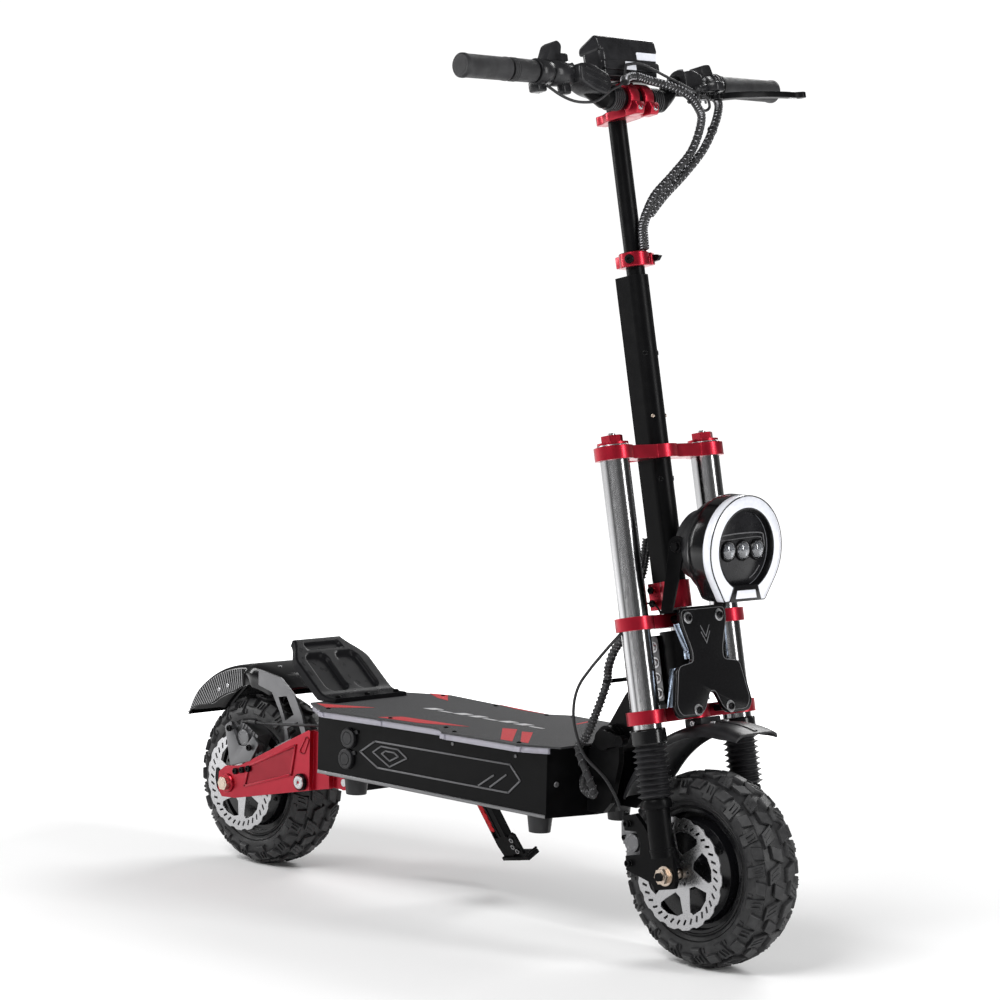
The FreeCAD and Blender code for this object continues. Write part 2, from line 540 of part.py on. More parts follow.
def crown(level, with_column):
    """Fork crown: a lobe round each tube, a bar between them and a round centre."""
    sides = ("-fork_half_spacing", "fork_half_spacing")
    lobes = [rod("crown_lobe_radius", ("0", y, level), "crown_thick") for y in sides]
    bar = block(("-crown_half_depth", "-fork_half_spacing", level),
                ("2 * crown_half_depth", "2 * fork_half_spacing", "crown_thick"))
    centre = rod("crown_lobe_radius", ("steer_axis_x", "0", level), "crown_thick")
    holes = [rod("fork_tube_radius", ("0", y, level + " - 1"), "crown_thick + 2") for y in sides]
    slots = [block(("-crown_lobe_radius - 2", y + " - 1.5", level + " - 1"), ("12", "3", "crown_thick + 2"))
             for y in sides]
    extra = []
    if with_column:
        extra.append(block(("steer_axis_x - column_depth - 8", "-column_radius - 8", level),
                           ("column_depth", "2 * column_radius + 16", "crown_thick")))
        holes.append(rod("column_radius", ("steer_axis_x", "0", level + " - 1"), "crown_thick + 2"))
        holes.append(block(("steer_axis_x - column_depth", "-column_radius", level + " - 1"),
                           ("column_depth", "2 * column_radius", "crown_thick + 2")))
    else:
        holes.append(rod("steerer_radius", ("steer_axis_x", "0", level + " - 1"), "crown_thick + 2"))
    return cut(fuse(bar, centre, *lobes, *extra), *holes, *slots)


finish(crown("upper_crown_z", True), "upper_crown", STEERING)
finish(group(crown("middle_crown_z", False), crown("lower_crown_z", False)), "lower_crowns", STEERING)

finish(rod("steerer_radius", ("steer_axis_x", "0", "steerer_low"), "steerer_high - steerer_low"),
       "steerer_tube", STEERING)

column_nose = rod("column_radius", ("steer_axis_x", "0", "column_low"), "column_high - column_low")
column_back = block(("steer_axis_x - column_depth", "-column_radius", "column_low"),
                    ("column_depth", "2 * column_radius", "column_high - column_low"))
column_bore = rod("stem_radius + running_gap", ("steer_axis_x", "0", "column_low - 1"),
                  "column_high - column_low + 2")
finish(cut(fuse(column_nose, column_back), column_bore), "stem_column", STEERING)

base_ring = rod("clamp_radius", ("steer_axis_x", "0", "base_clamp_low"),
                "column_low - base_clamp_low - 0.2")
base_ear = block(("steer_axis_x - 36", "-17", "base_clamp_low"),
                 ("26", "34", "column_low - base_clamp_low - 0.2"))
base_bore = rod("steerer_radius", ("steer_axis_x", "0", "base_clamp_low - 1"), "50")
base_slit = block(("steer_axis_x - 40", "-2", "base_clamp_low - 1"), ("30", "4", "50"))
base_bolts = [rod("4", ("steer_axis_x - 27", "-21", "base_clamp_low + %d" % rise), "38", "Y")
              for rise in (10, 29)]
finish(fuse(cut(fuse(base_ring, base_ear), base_bore, base_slit), *base_bolts), "column_clamp", STEERING)

tubes, collars, legs = [], [], []
for side_y in ("-fork_half_spacing", "fork_half_spacing"):
    tubes.append(ring("fork_tube_radius", "fork_tube_bore", ("0", side_y, "tube_low"),
                      "tube_high - tube_low"))
    collars.append(ring("collar_radius", "fork_tube_radius", ("0", side_y, "collar_low + 7.2"),
                        "collar_high - collar_low - 7.2"))
    legs.append(rod("leg_radius", ("0", side_y, "leg_low"), "leg_high - leg_low"))
finish(group(*tubes), "fork_tubes", STEERING)
finish(group(*collars), "fork_collars", STEERING)


def cap_shape():
    """Hexagonal fork cap on a round flange."""
    radius = dim("fork_tube_radius")
    base = dim("tube_high")
    solids = []
    for side in (-1, 1):
        centre = V(0, side * dim("fork_half_spacing"), base)
        flange = Part.makeCylinder(radius + 1.5, 5, centre)
        hexagon = Part.makePolygon([centre + V(16 * math.cos(math.pi * k / 3),
                                               16 * math.sin(math.pi * k / 3), 5)
                                    for k in range(7)])
        solids.append(flange.fuse(Part.Face(hexagon).extrude(V(0, 0, 10))))
    return Part.makeCompound(solids)


shape_part(cap_shape(), "fork_caps", STEERING)


def boot_shape():
    """Ribbed rubber boot round each lower leg."""
    low, high, outer = dim("boot_low"), dim("collar_low + 7"), dim("boot_radius")
    inner, folds = dim("leg_radius + 1.2"), 9
    step = (high - low) / folds
    points = [(inner, low)]
    for index in range(folds):
        points += [(outer - 4, low + step * index), (outer, low + step * (index + 0.5))]
    points += [(outer - 4, high), (inner, high)]
    face = polygon_face([(radius, 0, z) for radius, z in points])
    boot = face.revolve(V(0, 0, 0), V(0, 0, 1), 360)
    offset = V(0, dim("fork_half_spacing"), 0)
    return Part.makeCompound([boot.translated(offset), boot.translated(-offset)])


shape_part(boot_shape(), "fork_boots", STEERING)

# Each leg ends in a flat dropout; the right one also carries the brake caliper.
DROPOUT = [("-22", "-19"), ("12", "-19"), ("17", "-10"), ("17", "34"), ("-17", "40"), ("-30", "22"),
           ("-30", "-6")]
CALIPER_ARMS = [("-22", "-19"), ("12", "-19"), ("17", "-10"), ("17", "34"), ("-17", "48"), ("-30", "72"),
                ("-44", "90"), ("-68", "88"), ("-68", "68"), ("-46", "65"), ("-40", "50"), ("-44", "32"),
                ("-72", "32"), ("-74", "12"), ("-56", "4"), ("-30", "-8")]
dropout_left = plate("XZ", DROPOUT, "dropout_face - dropout_thick", "dropout_thick")
dropout_right = plate("XZ", CALIPER_ARMS, "-dropout_face", "dropout_thick")
axle_hole = rod("axle_radius", ("0", "-120", "0"), "240", "Y")
leg_nodes = [cut(fuse(legs[0], dropout_right), axle_hole, *caliper_bolt_holes(*FRONT_CALIPER)),
             cut(fuse(legs[1], dropout_left), axle_hole)]
finish(group(*leg_nodes), "fork_legs", STEERING)


def fork_spring_shape():
    """Coil spring inside each fork tube, between the leg and the cap."""
    low, high = dim("leg_high + 1"), dim("tube_high - 1")
    spring = coil(13.5, 1.8, 9, high - low - 4)
    offset = V(0, dim("fork_half_spacing"), low + 2)
    return Part.makeCompound([spring.translated(offset), spring.translated(V(0, -offset.y, offset.z))])


shape_part(fork_spring_shape(), "fork_springs", STEERING)


def fender_section(radius, half, skin, skirt):
    """Channel section of a fender as radius and offset points."""
    edge = radius - skirt
    return [(edge, half), (radius - 6, half), (radius, half - 10), (radius, 10 - half), (radius - 6, -half),
            (edge, -half), (edge, skin - half), (radius - 6 - skin / 2, skin - half), (radius - skin,
                                                                                       11 - half),
            (radius - skin, half - 11), (radius - 6 - skin / 2, half - skin), (edge, half - skin)]


def arc_fender(centre_x, centre_z, radius, half, start, end, skirt):
    """Fender channel over an arc; the angles run from the rear horizontal over the top."""
    section = fender_section(radius, half, dim("fender_skin"), skirt)
    shell_solid = revolve_y(section, centre_x, centre_z, end - start)
    shell_solid.rotate(V(centre_x, 0, centre_z), V(0, 1, 0), start)
    return shell_solid


front_fender = arc_fender(dim("front_fender_x"), dim("front_fender_z"), dim("front_fender_radius"),
                          dim("fender_half_width"), 30, 118, 18)
strut_top = dim("lower_crown_z")
fender_arch = dim("front_fender_z + front_fender_radius") - 8
strut = Part.makeBox(34, 44, strut_top - fender_arch, V(2, -22, fender_arch))
room = Part.makeCylinder(dim("front_fender_radius - 1"), 100,
                         V(dim("front_fender_x"), -50, dim("front_fender_z")), V(0, 1, 0))
shape_part(front_fender.fuse(strut.cut(room)).removeSplitter(), "front_fender", STEERING)


def badge_shape():
    """X-shaped cover plate in front of the head tube, bent edges left square."""
    front = 44.0
    half = [(49, 370), (49, 350), (34, 309), (34, 292), (69, 287), (83, 229), (74, 215), (30, 215),
            (20, 222), (6, 247)]
    points = half + [(-y, z) for y, z in reversed(half)]
    plate_solid = polygon_face([(front, y, z) for y, z in points]).extrude(V(-6, 0, 0))
    studs = []
    for y, z in ((32, 355), (34, 224)):
        for side in (-1, 1):
            studs.append(Part.makeCylinder(5, 4, V(front, side * y, z), V(1, 0, 0)))
            studs.append(Part.makeCylinder(5, front - 6 - 16, V(16.2, side * y, z), V(1, 0, 0)))
    return plate_solid.fuse(studs).removeSplitter()


shape_part(badge_shape(), "badge_plate", STEERING)

height_ring = rod("clamp_radius", ("steer_axis_x", "0", "height_clamp_low"),
                  "height_clamp_high - height_clamp_low")
height_ear = block(("steer_axis_x - 34", "-13", "height_clamp_low + 2"), ("22", "26", "18"))
height_bore = rod("stem_radius + running_gap", ("steer_axis_x", "0", "height_clamp_low - 1"), "40")
height_slit = block(("steer_axis_x - 40", "-1.5", "height_clamp_low - 1"), ("30", "3", "40"))
finish(cut(fuse(height_ring, height_ear), height_bore, height_slit), "height_clamp", STEERING)

LEVER_X = "(steer_axis_x - 25)"
LEVER_Z = "(height_clamp_low + 11)"
lever_cam = rod("8", (LEVER_X, "13.2", LEVER_Z), "11", "Y")
lever_arm = plate("XZ", [(LEVER_X + " - 6", LEVER_Z + " - 6"), (LEVER_X + " + 48", LEVER_Z + " - 3"),
                         (LEVER_X + " + 54", LEVER_Z + " + 3"), (LEVER_X + " + 46", LEVER_Z + " + 6"),
                         (LEVER_X + " - 6", LEVER_Z + " + 7")], "23", "6")
finish(fuse(lever_cam, lever_arm), "height_lever", STEERING)

# ---------------------------------------------------------------- headlight, lamp frame

def lamp_outline(radius, flat, flat_half):
    """Round lamp outline with a flat foot, as a closed wire in the YZ plane."""
    corner = math.hypot(flat_half, flat)
    turn = math.acos(min(1.0, radius / corner)) if corner > radius else 0.0
    start = math.atan2(-flat, flat_half) + turn
    touch = V(0, radius * math.cos(start), radius * math.sin(start))
    other = V(0, -touch.y, touch.z)
    arc = Part.Arc(touch, V(0, 0, radius), other).toShape()
    foot = [other, V(0, -flat_half, -flat), V(0, flat_half, -flat), touch]
    lines = [Part.LineSegment(foot[k], foot[k + 1]).toShape() for k in range(3)]
    return Part.Wire([arc] + lines)


RING_DEPTH = 30.0
lamp_radius, lamp_flat = dim("lamp_radius"), dim("lamp_flat")
outer_wire = lamp_outline(lamp_radius, lamp_flat, 43)
opening = Part.makeCylinder(dim("lamp_opening"), RING_DEPTH + 2, V(1, 0, 0), V(-1, 0, 0))
ring_solid = Part.Face(outer_wire).extrude(V(-RING_DEPTH, 0, 0)).cut(opening)
shape_part(ring_solid, "headlight_ring", LAMP)

pivot_depth = dim("lamp_face_x - lamp_pivot_x")
back_radius = dim("lamp_back_radius")
bowl = Part.makeCone(lamp_radius - 2, back_radius, 30, V(-RING_DEPTH - 0.1, 0, 0), V(-1, 0, 0))
tail = Part.makeCylinder(back_radius, 36, V(-RING_DEPTH - 30, 0, 0), V(-1, 0, 0))
plug = Part.makeCylinder(dim("lamp_opening - 0.2"), RING_DEPTH - 9, V(-RING_DEPTH - 0.2, 0, 0), V(1, 0, 0))
lamp_studs = [Part.makeCylinder(5, 6.5, V(-pivot_depth, side * (back_radius - 1), 0),
                                V(0, side, 0)) for side in (-1, 1)]
housing = bowl.fuse([tail, plug] + lamp_studs).removeSplitter()
shape_part(housing, "headlight_housing", LAMP)

LENS_PITCH = 32.0
lenses = []
for index in (-1, 0, 1):
    dome = Part.makeSphere(17, V(-12, index * LENS_PITCH, 0)).common(
        Part.makeBox(12, 30, 34, V(-8.8, index * LENS_PITCH - 15, -17)))
    lenses.append(dome)
shape_part(Part.makeCompound(lenses), "headlight_lenses", LAMP)

BRACKET_Y = 56.0

def bracket_shape():
    """Folded U bracket from the middle crown to both sides of the headlight."""
    rake = math.radians(dim("fork_rake"))
    dx, dz = dim("lamp_pivot_x - wheel_base"), dim("lamp_z - tyre_radius")
    pivot = V(dx * math.cos(rake) + dz * math.sin(rake), 0, -dx * math.sin(rake) + dz * math.cos(rake))
    base = dim("middle_crown_z + crown_thick + 0.2")
    half = 15.0
    solids = [Part.makeBox(22, 2 * BRACKET_Y + 3, 4, V(15.8, -BRACKET_Y - 1.5, base))]
    for side in (-1, 1):
        y = side * BRACKET_Y - 1.5
        arm = polygon_face([(15.8, y, base), (37.8, y, base), (pivot.x + half, y, pivot.z),
                            (pivot.x - half, y, pivot.z)]).extrude(V(0, 3, 0))
        tip = Part.makeCylinder(half, 3, V(pivot.x, y, pivot.z), V(0, 1, 0))
        hole = Part.makeCylinder(5.05, 9, V(pivot.x, y - 3, pivot.z), V(0, 1, 0))
        solids.append(arm.fuse(tip).cut(hole))
    first = solids[0].fuse(solids[1:]).removeSplitter()
    foot = Part.makeBox(32, 50, 4, V(-8, -25, base))
    shaft = Part.makeCylinder(dim("clamp_radius + 0.5"), 20, V(dim("steer_axis_x"), 0, base - 5))
    return first.fuse(foot.cut(shaft)).removeSplitter()


shape_part(bracket_shape(), "headlight_bracket", STEERING)

# ---------------------------------------------------------------- handlebar, steering frame

finish(cut(rod("stem_radius", ("steer_axis_x", "0", "stem_low"), "stem_high - stem_low"),
           rod("stem_radius - 2.5", ("steer_axis_x", "0", "stem_low - 1"), "stem_high - stem_low - 8")),
       "stem_tube", STEERING)

stem_ring = rod("clamp_radius", ("steer_axis_x", "0", "stem_high - 24"), "23")
stem_lobe = block(("steer_axis_x - 34", "-15", "stem_high - 22"), ("20", "30", "16"))
bar_ring = rod("bar_radius + 7", ("bar_x", "-bar_clamp_half", "bar_z"), "2 * bar_clamp_half", "Y")
bar_ear = block(("bar_x + 8", "-bar_clamp_half", "bar_z - 30"), ("20", "2 * bar_clamp_half", "24"))
ear_gap = block(("bar_x + 6", "-4", "bar_z - 34"), ("26", "8", "22"))
stem_link = block(("steer_axis_x", "-bar_clamp_half + 4", "bar_z - 30"),
                  ("bar_x - steer_axis_x", "2 * bar_clamp_half - 8", "20"))
clamp_solid = cut(fuse(stem_ring, stem_lobe, bar_ring, bar_ear, stem_link),
                  rod("stem_radius", ("steer_axis_x", "0", "stem_high - 60"), "60"),
                  rod("bar_radius", ("bar_x", "-60", "bar_z"), "120", "Y"), ear_gap)
finish(clamp_solid, "bar_clamp", STEERING)


def handlebar_shape():
    """Riser bar: thick straight centre, a bend each side and thin straight ends."""
    bar, grip = V(dim("bar_x"), 0, dim("bar_z")), V(dim("grip_x"), 0, dim("grip_z"))
    bend, outer, end = dim("bar_bend_y"), dim("bar_outer_y"), dim("bar_half_length - 4")
    thick, thin = dim("bar_radius"), dim("grip_bar_radius")
    centre = Part.makeCylinder(thick, 2 * bend, bar + V(0, -bend, 0), V(0, 1, 0))
    pieces = []
    for side in (-1, 1):
        first = Part.Wire(Part.makeCircle(thick, bar + V(0, side * bend, 0), V(0, 1, 0)))
        middle = Part.Wire(Part.makeCircle((thick + thin) / 2,
                                           (bar + grip) * 0.5 + V(0, side * (bend + outer) / 2, 0),
                                           V(0, 1, 0.5 * side)))
        last = Part.Wire(Part.makeCircle(thin, grip + V(0, side * outer, 0), V(0, 1, 0)))
        pieces.append(Part.makeLoft([first, middle, last], True))
        pieces.append(Part.makeCylinder(thin, end - outer, grip + V(0, side * outer, 0), V(0, side, 0)))
    return centre.fuse(pieces).removeSplitter()


shape_part(handlebar_shape(), "handlebar", STEERING)


def sleeve(outer, inner, start, length):
    """Sleeve along the grip line from one Y to another."""
    return ring(outer, inner, ("grip_x", start, "grip_z"), length, "Y")


right_grip = fuse(sleeve("grip_radius", "grip_bar_radius", "-bar_half_length + 4", "86"),
                  rod("grip_radius", ("grip_x", "-bar_half_length", "grip_z"), "4", "Y"))
left_grip = fuse(sleeve("grip_radius", "grip_bar_radius", "bar_half_length - 126", "122"),
                 rod("grip_radius", ("grip_x", "bar_half_length - 4", "grip_z"), "4", "Y"))
finish(group(right_grip, left_grip), "grips", STEERING)

finish(sleeve("grip_radius - 0.5", "grip_bar_radius + running_gap", "-bar_half_length + 92", "50"),
       "twist_throttle", STEERING)

# Control housings: throttle collar and switch pod on the right, brake perch and switch pod on the left.
BUTTON_PLACES = [("3.2", "grip_x - 9", y, "grip_z + 30.2") for y in ("-144", "-132")]
BUTTON_PLACES.append(("5", "grip_x - 6", "130", "grip_z + 19.2"))
wells = [rod(radius + " + 0.1", (x, y, z + " - 2"), "4") for radius, x, y, z in BUTTON_PLACES]
right_collar = sleeve("grip_radius + 1", "grip_bar_radius", "-184", "26")
right_pod = fuse(sleeve("19", "grip_bar_radius", "-157", "40"),
                 block(("grip_x - 16", "-152", "grip_z + 8"), ("24", "32", "22")))
right_pod = cut(right_pod, rod("grip_bar_radius", ("grip_x", "-160", "grip_z"), "50", "Y"), *wells[:2])
left_collar = sleeve("grip_radius + 1", "grip_bar_radius", "178", "20")
perch = fuse(sleeve("17", "grip_bar_radius", "150", "26"),
             block(("grip_x + 8", "149", "grip_z - 16"), ("32", "26", "14")))
perch = cut(perch, rod("grip_bar_radius", ("grip_x", "140", "grip_z"), "50", "Y"),
            rod("4.05", ("grip_x + 30", "162", "grip_z - 30"), "50"))
left_pod = cut(sleeve("19", "grip_bar_radius", "112", "36"), wells[2])
finish(group(fuse(right_collar, right_pod), left_collar, perch, left_pod), "control_housings", STEERING)


def lever_shape():
    """Two-finger brake lever: pivot eye and a blade that sweeps out along the grip."""
    pivot = V(dim("grip_x + 30"), 162, dim("grip_z - 22"))
    path = [(0, 0), (12, 10), (26, 34), (38, 70), (45, 110), (47, 134), (52, 140), (50, 148), (40, 148),
            (35, 136), (33, 112), (26, 74), (14, 42), (0, 22), (-8, 12), (-8, 4)]
    blade = polygon_face([(pivot.x + x, pivot.y + y, pivot.z - 6) for x, y in path]).extrude(V(0, 0, 9))
    eye = Part.makeCylinder(9, 5.6, pivot + V(0, 0, -6))
    pin = Part.makeCylinder(4, 26, pivot + V(0, 0, -6))
    blade = blade.cut(Part.makeBox(60, 16, 30, V(pivot.x - 20, pivot.y - 14, pivot.z - 0.2)))
    return blade.fuse([eye, pin]).removeSplitter()


shape_part(lever_shape(), "brake_lever", STEERING)

buttons = [rod(radius, (x, y, z), "3.5") for radius, x, y, z in BUTTON_PLACES]
finish(group(*buttons), "switch_buttons", STEERING)


def display_shape():
    """Wedge-shaped instrument: upright back, screen facing up and back under a hooded rim."""
    x, z = dim("bar_x"), dim("bar_z")
    half = 66.0
    side = [(x - 6, z + 24), (x + 1, z + 58), (x + 8, z + 88), (x - 2, z + 91), (x - 48, z + 40),
            (x - 46, z + 27)]
    body = polygon_face([(px, -half, pz) for px, pz in side]).extrude(V(0, 2 * half, 0))
    rims = [edge for edge in body.Edges if edge.Length < 2 * half - 1]
    body = body.makeFillet(4, rims)
    hood_side = [(x + 1, z + 54), (x + 9, z + 87), (x - 3, z + 92), (x - 12, z + 92), (x - 42, z + 54),
                 (x - 30, z + 50)]
    hood = polygon_face([(px, -half - 6, pz) for px, pz in hood_side]).extrude(V(0, 2 * half + 12, 0))
    slope = V(46, 0, 51).normalize()
    screen = Part.makeBox(56, 120, 8, V(-28, -60, -4))
    screen.Placement = FreeCAD.Placement(V(x - 25, 0, z + 65.5), FreeCAD.Rotation(V(1, 0, 0), slope))
    foot = Part.makeBox(16, 36, 20, V(x - 26, -18, z + 12))
    keep_clear = Part.makeCylinder(dim("bar_radius + 7.05"), 200, V(x, -100, z), V(0, 1, 0))
    stem_room = Part.makeCylinder(dim("stem_radius + 8.5"), 30, V(dim("steer_axis_x"), 0, z - 20))
    return body.fuse([hood, foot]).cut([screen, keep_clear, stem_room]).removeSplitter()


shape_part(display_shape(), "display", STEERING)

# ---------------------------------------------------------------- rear suspension, chassis frame

ARM_SIDE = [("-24", "tyre_radius - 12"), ("-22", "tyre_radius + 16"), ("-6", "tyre_radius + 27"),
            ("30", "tyre_radius + 32"), ("196", "250"), ("218", "248"), ("221", "206"), ("226", "184"),
            ("238", "swing_z + 8"), ("238", "swing_z - eye_radius"), ("shock_low_x", "shock_low_z - 15"),
            ("20", "tyre_radius - 22"), ("-14", "tyre_radius - 24")]
arm = plate("XZ", ARM_SIDE, "-arm_outer_y", "arm_outer_y - arm_inner_y")
panel = plate("XZ", [("46", "tyre_radius + 2"), ("56", "tyre_radius + 32"), ("164", "219"), ("154", "176")],
              "-arm_outer_y - 1", "5")
slim = plate("XZ", [("200", "120"), ("200", "280"), ("290", "280"), ("290", "120")],
             "-arm_outer_y - 1", "9")
arm_web = block(("205", "-arm_inner_y", "swing_z - eye_radius + 1"),
                ("swing_x - 205", "arm_inner_y - eye_inner_y", "2 * eye_radius - 2"))
arm_eye = rod("eye_radius", ("swing_x", "-arm_inner_y", "swing_z"), "arm_inner_y - eye_inner_y", "Y")
swing_bore = rod("swing_pin_radius + running_gap", ("swing_x", "-120", "swing_z"), "240", "Y")
one_side = cut(fuse(arm, arm_web, arm_eye), panel, slim, swing_bore)
bolt_head = rod("11", ("shock_low_x", "-arm_outer_y - 6", "shock_low_z"), "6.5", "Y")
CALIPER_SIDE = [("8", "tyre_radius + 30"), ("56", "tyre_radius + 42"), ("74", "212"), ("62", "222"),
                ("44", "203"), ("26", "203"), ("6", "240"), ("-6", "232")]
caliper_plate = cut(plate("XZ", CALIPER_SIDE, "-arm_outer_y", "5"),
                    *caliper_bolt_holes(*REAR_CALIPER, "tyre_radius"))
cross_tube = rod("12", ("shock_low_x + 6", "-arm_inner_y - 1", "shock_low_z - 1"),
                 "2 * arm_inner_y + 2", "Y")
cross_gap = block(("shock_low_x - 25", "-13", "shock_low_z - 30"), ("60", "26", "60"))
shock_bolt = rod("5", ("shock_low_x", "-arm_inner_y", "shock_low_z"), "2 * arm_inner_y", "Y")
axle_holes = rod("axle_radius", ("0", "-120", "tyre_radius"), "240", "Y")
frame_solid = fuse(one_side, mirror(one_side), bolt_head, mirror(bolt_head), shock_bolt,
                   cut(cross_tube, cross_gap), caliper_plate)
finish(cut(frame_solid, axle_holes), "swingarm", CHASSIS)


def fender_bracket_shape():
    """Pair of cut-out side plates that carry the rear fender on the arm."""
    inner, thick = 54.0, 3.5
    points = [(98, 205), (150, 231), (138, 262), (120, 292), (84, 318), (30, 326), (30, 300), (64, 292),
              (84, 262), (96, 236)]
    windows = [[(108, 216), (138, 232), (128, 252), (102, 238)],
               [(98, 250), (118, 262), (100, 290), (80, 286)]]
    solids = []
    for side in (-1, 1):
        y = -inner - thick if side < 0 else inner
        face = polygon_face([(x, y, z) for x, z in points]).extrude(V(0, thick, 0))
        holes = []
        for window in windows:
            outline = polygon_face([(x, y - 1, z) for x, z in window])
            holes.append(outline.extrude(V(0, thick + 2, 0)))
        foot = Part.makeBox(44, 26, 5, V(100, -80 if side < 0 else 54, 205.4))
        foot.rotate(V(100, 0, 205.4), V(0, 1, 0), -25.2)
        solids.append(face.cut(holes).fuse(foot))
    return Part.makeCompound(solids)


def rear_fender_shape():
    """Rear fender channel whose tail reaches the scooter's rearmost point."""
    radius, centre_z = dim("rear_fender_radius"), dim("rear_fender_z")
    start = math.degrees(math.acos(dim("tail_reach") / radius))
    return arc_fender(0, centre_z, radius, dim("fender_half_width + 7"), start, 120, 24)


shape_part(fender_bracket_shape(), "fender_bracket", CHASSIS)
shape_part(rear_fender_shape(), "rear_fender", CHASSIS)


def along_shock(distance):
    """Point on the shock's centre line, measured up from its lower eye."""
    low, high = V(dim("shock_low_x"), 0, dim("shock_low_z")), V(dim("shock_high_x"), 0, dim("shock_high_z"))
    return low + (high - low).normalize() * distance


def shock_parts():
    """Damper body with its upper eye, rod with its lower eye, and the coil between them."""
    low, high = along_shock(0), V(dim("shock_high_x"), 0, dim("shock_high_z"))
    direction = (high - low).normalize()
    length = (high - low).Length
    body = Part.makeCylinder(9, 46, along_shock(length - 54), direction)
    body = body.fuse([Part.makeCylinder(17, 4, along_shock(length - 22), direction),
                      Part.makeCylinder(9, 24, high + V(0, -12, 0), V(0, 1, 0))])
    body = body.cut([Part.makeCylinder(4.05, 60, high + V(0, -30, 0), V(0, 1, 0)),
                     Part.makeCylinder(5.05, 40, along_shock(length - 55), direction)])
    rod_solid = Part.makeCylinder(5, 56, along_shock(8), direction)
    rod_solid = rod_solid.fuse([Part.makeCylinder(17, 4, along_shock(13), direction),
                                Part.makeCylinder(10, 22, low + V(0, -11, 0), V(0, 1, 0))])
    rod_solid = rod_solid.cut(Part.makeCylinder(5.8, 60, low + V(0, -30, 0), V(0, 1, 0)))
    spring = coil(13.5, 2.2, 9.5, length - 22 - 17 - 5)
    spring.Placement = FreeCAD.Placement(along_shock(17 + 2.4), FreeCAD.Rotation(V(0, 0, 1), direction))
    return body, rod_solid, spring


shock_body, shock_rod, shock_spring = shock_parts()
shape_part(shock_body, "shock_body", CHASSIS)
shape_part(shock_rod, "shock_rod", CHASSIS)
shape_part(shock_spring, "shock_spring", CHASSIS)

# ---------------------------------------------------------------- kickstand, stand frame


def kickstand_shape():
    """Side stand: pivot eye, flat leg leaning forward, drilled ankle plate and foot."""
    length = dim("stand_length")
    leg_outline = [(-8, -6, 6), (26, -6, 6), (26, -6, -length + 30), (20, -6, -length),
                   (-4, -6, -length), (-8, -6, -length + 20)]
    leg = polygon_face(leg_outline).extrude(V(0, 12, 0))
    recess = Part.makeBox(9, 4, length - 60, V(-5, -7, -length + 34))
    eye = Part.makeCylinder(9, 14, V(0, -7, 0), V(0, 1, 0))
    ankle = polygon_face([(20, -6, -length + 4), (26, -6, -length + 34), (38, -6, -length + 42),
                          (44, -6, -length + 38),
                          (46, -6, -length + 4)]).extrude(V(0, 5, 0))
    hole_places = ((34, 30), (30, 18), (36, 10))
    holes = [Part.makeCylinder(2.6, 20, V(x, -10, -length + z), V(0, 1, 0)) for x, z in hole_places]
    foot = Part.makeBox(62, 24, 6, V(-6, -8, -length - 6))
    bore = Part.makeCylinder(4.05, 16, V(0, -8, 0), V(0, 1, 0))
    solid = leg.cut(recess).fuse([eye, ankle.cut(holes), foot]).cut(bore).removeSplitter()
    solid.rotate(V(0, 0, 0), V(0, 1, 0), -11)
    return solid


shape_part(kickstand_shape(), "kickstand", STAND)

# ---------------------------------------------------------------- checks and export

DOC.recompute()
for item in DOC.Objects:
    if "Invalid" in item.State or "Error" in item.State:
        raise RuntimeError("failed object: %s" % item.Label)
for item in NODES:
    if item.Shape.isNull() or not item.Shape.isValid() or not item.Shape.Solids:
        raise RuntimeError("bad shape: %s" % item.Label)
os.makedirs("parts", exist_ok=True)
for item in NODES:
    item.Shape.exportStep("parts/%s.step" % item.Label)
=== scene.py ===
"""Looks of an electric kick scooter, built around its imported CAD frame.

Local frames, all in millimetres: CHASSIS stands on the ground under the rear axle with X ahead, Y to the
rider's left and Z up.  FORK starts at the front axle and its Z runs up the fork tubes.  LAMP starts at the
middle of the headlight's face.  STAND starts at the kickstand's pivot, with Y along the pivot.
"""
import json
import math
import random
import bmesh
import bpy
from mathutils import Matrix, Vector

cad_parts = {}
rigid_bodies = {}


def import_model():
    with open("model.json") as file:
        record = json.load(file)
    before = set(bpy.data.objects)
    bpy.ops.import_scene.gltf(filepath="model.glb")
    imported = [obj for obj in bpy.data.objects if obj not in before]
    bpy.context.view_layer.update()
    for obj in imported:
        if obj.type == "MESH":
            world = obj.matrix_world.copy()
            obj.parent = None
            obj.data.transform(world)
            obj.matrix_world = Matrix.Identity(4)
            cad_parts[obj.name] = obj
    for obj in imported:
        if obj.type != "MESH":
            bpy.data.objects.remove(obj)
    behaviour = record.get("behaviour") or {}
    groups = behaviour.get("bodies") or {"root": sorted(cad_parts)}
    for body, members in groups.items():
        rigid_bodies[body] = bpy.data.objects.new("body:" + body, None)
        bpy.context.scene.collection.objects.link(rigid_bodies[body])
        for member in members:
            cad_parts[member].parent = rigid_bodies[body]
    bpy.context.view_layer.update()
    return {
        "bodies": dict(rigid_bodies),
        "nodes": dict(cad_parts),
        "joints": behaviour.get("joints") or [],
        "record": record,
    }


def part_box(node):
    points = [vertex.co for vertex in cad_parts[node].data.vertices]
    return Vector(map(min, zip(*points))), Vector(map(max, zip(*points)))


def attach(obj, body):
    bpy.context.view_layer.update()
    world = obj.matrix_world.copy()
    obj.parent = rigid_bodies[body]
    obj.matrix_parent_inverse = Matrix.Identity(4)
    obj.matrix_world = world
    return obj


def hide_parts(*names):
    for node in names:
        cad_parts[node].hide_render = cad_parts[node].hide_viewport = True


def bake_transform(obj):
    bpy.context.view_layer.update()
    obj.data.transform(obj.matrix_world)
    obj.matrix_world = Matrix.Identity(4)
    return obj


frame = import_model()
MM = 0.001
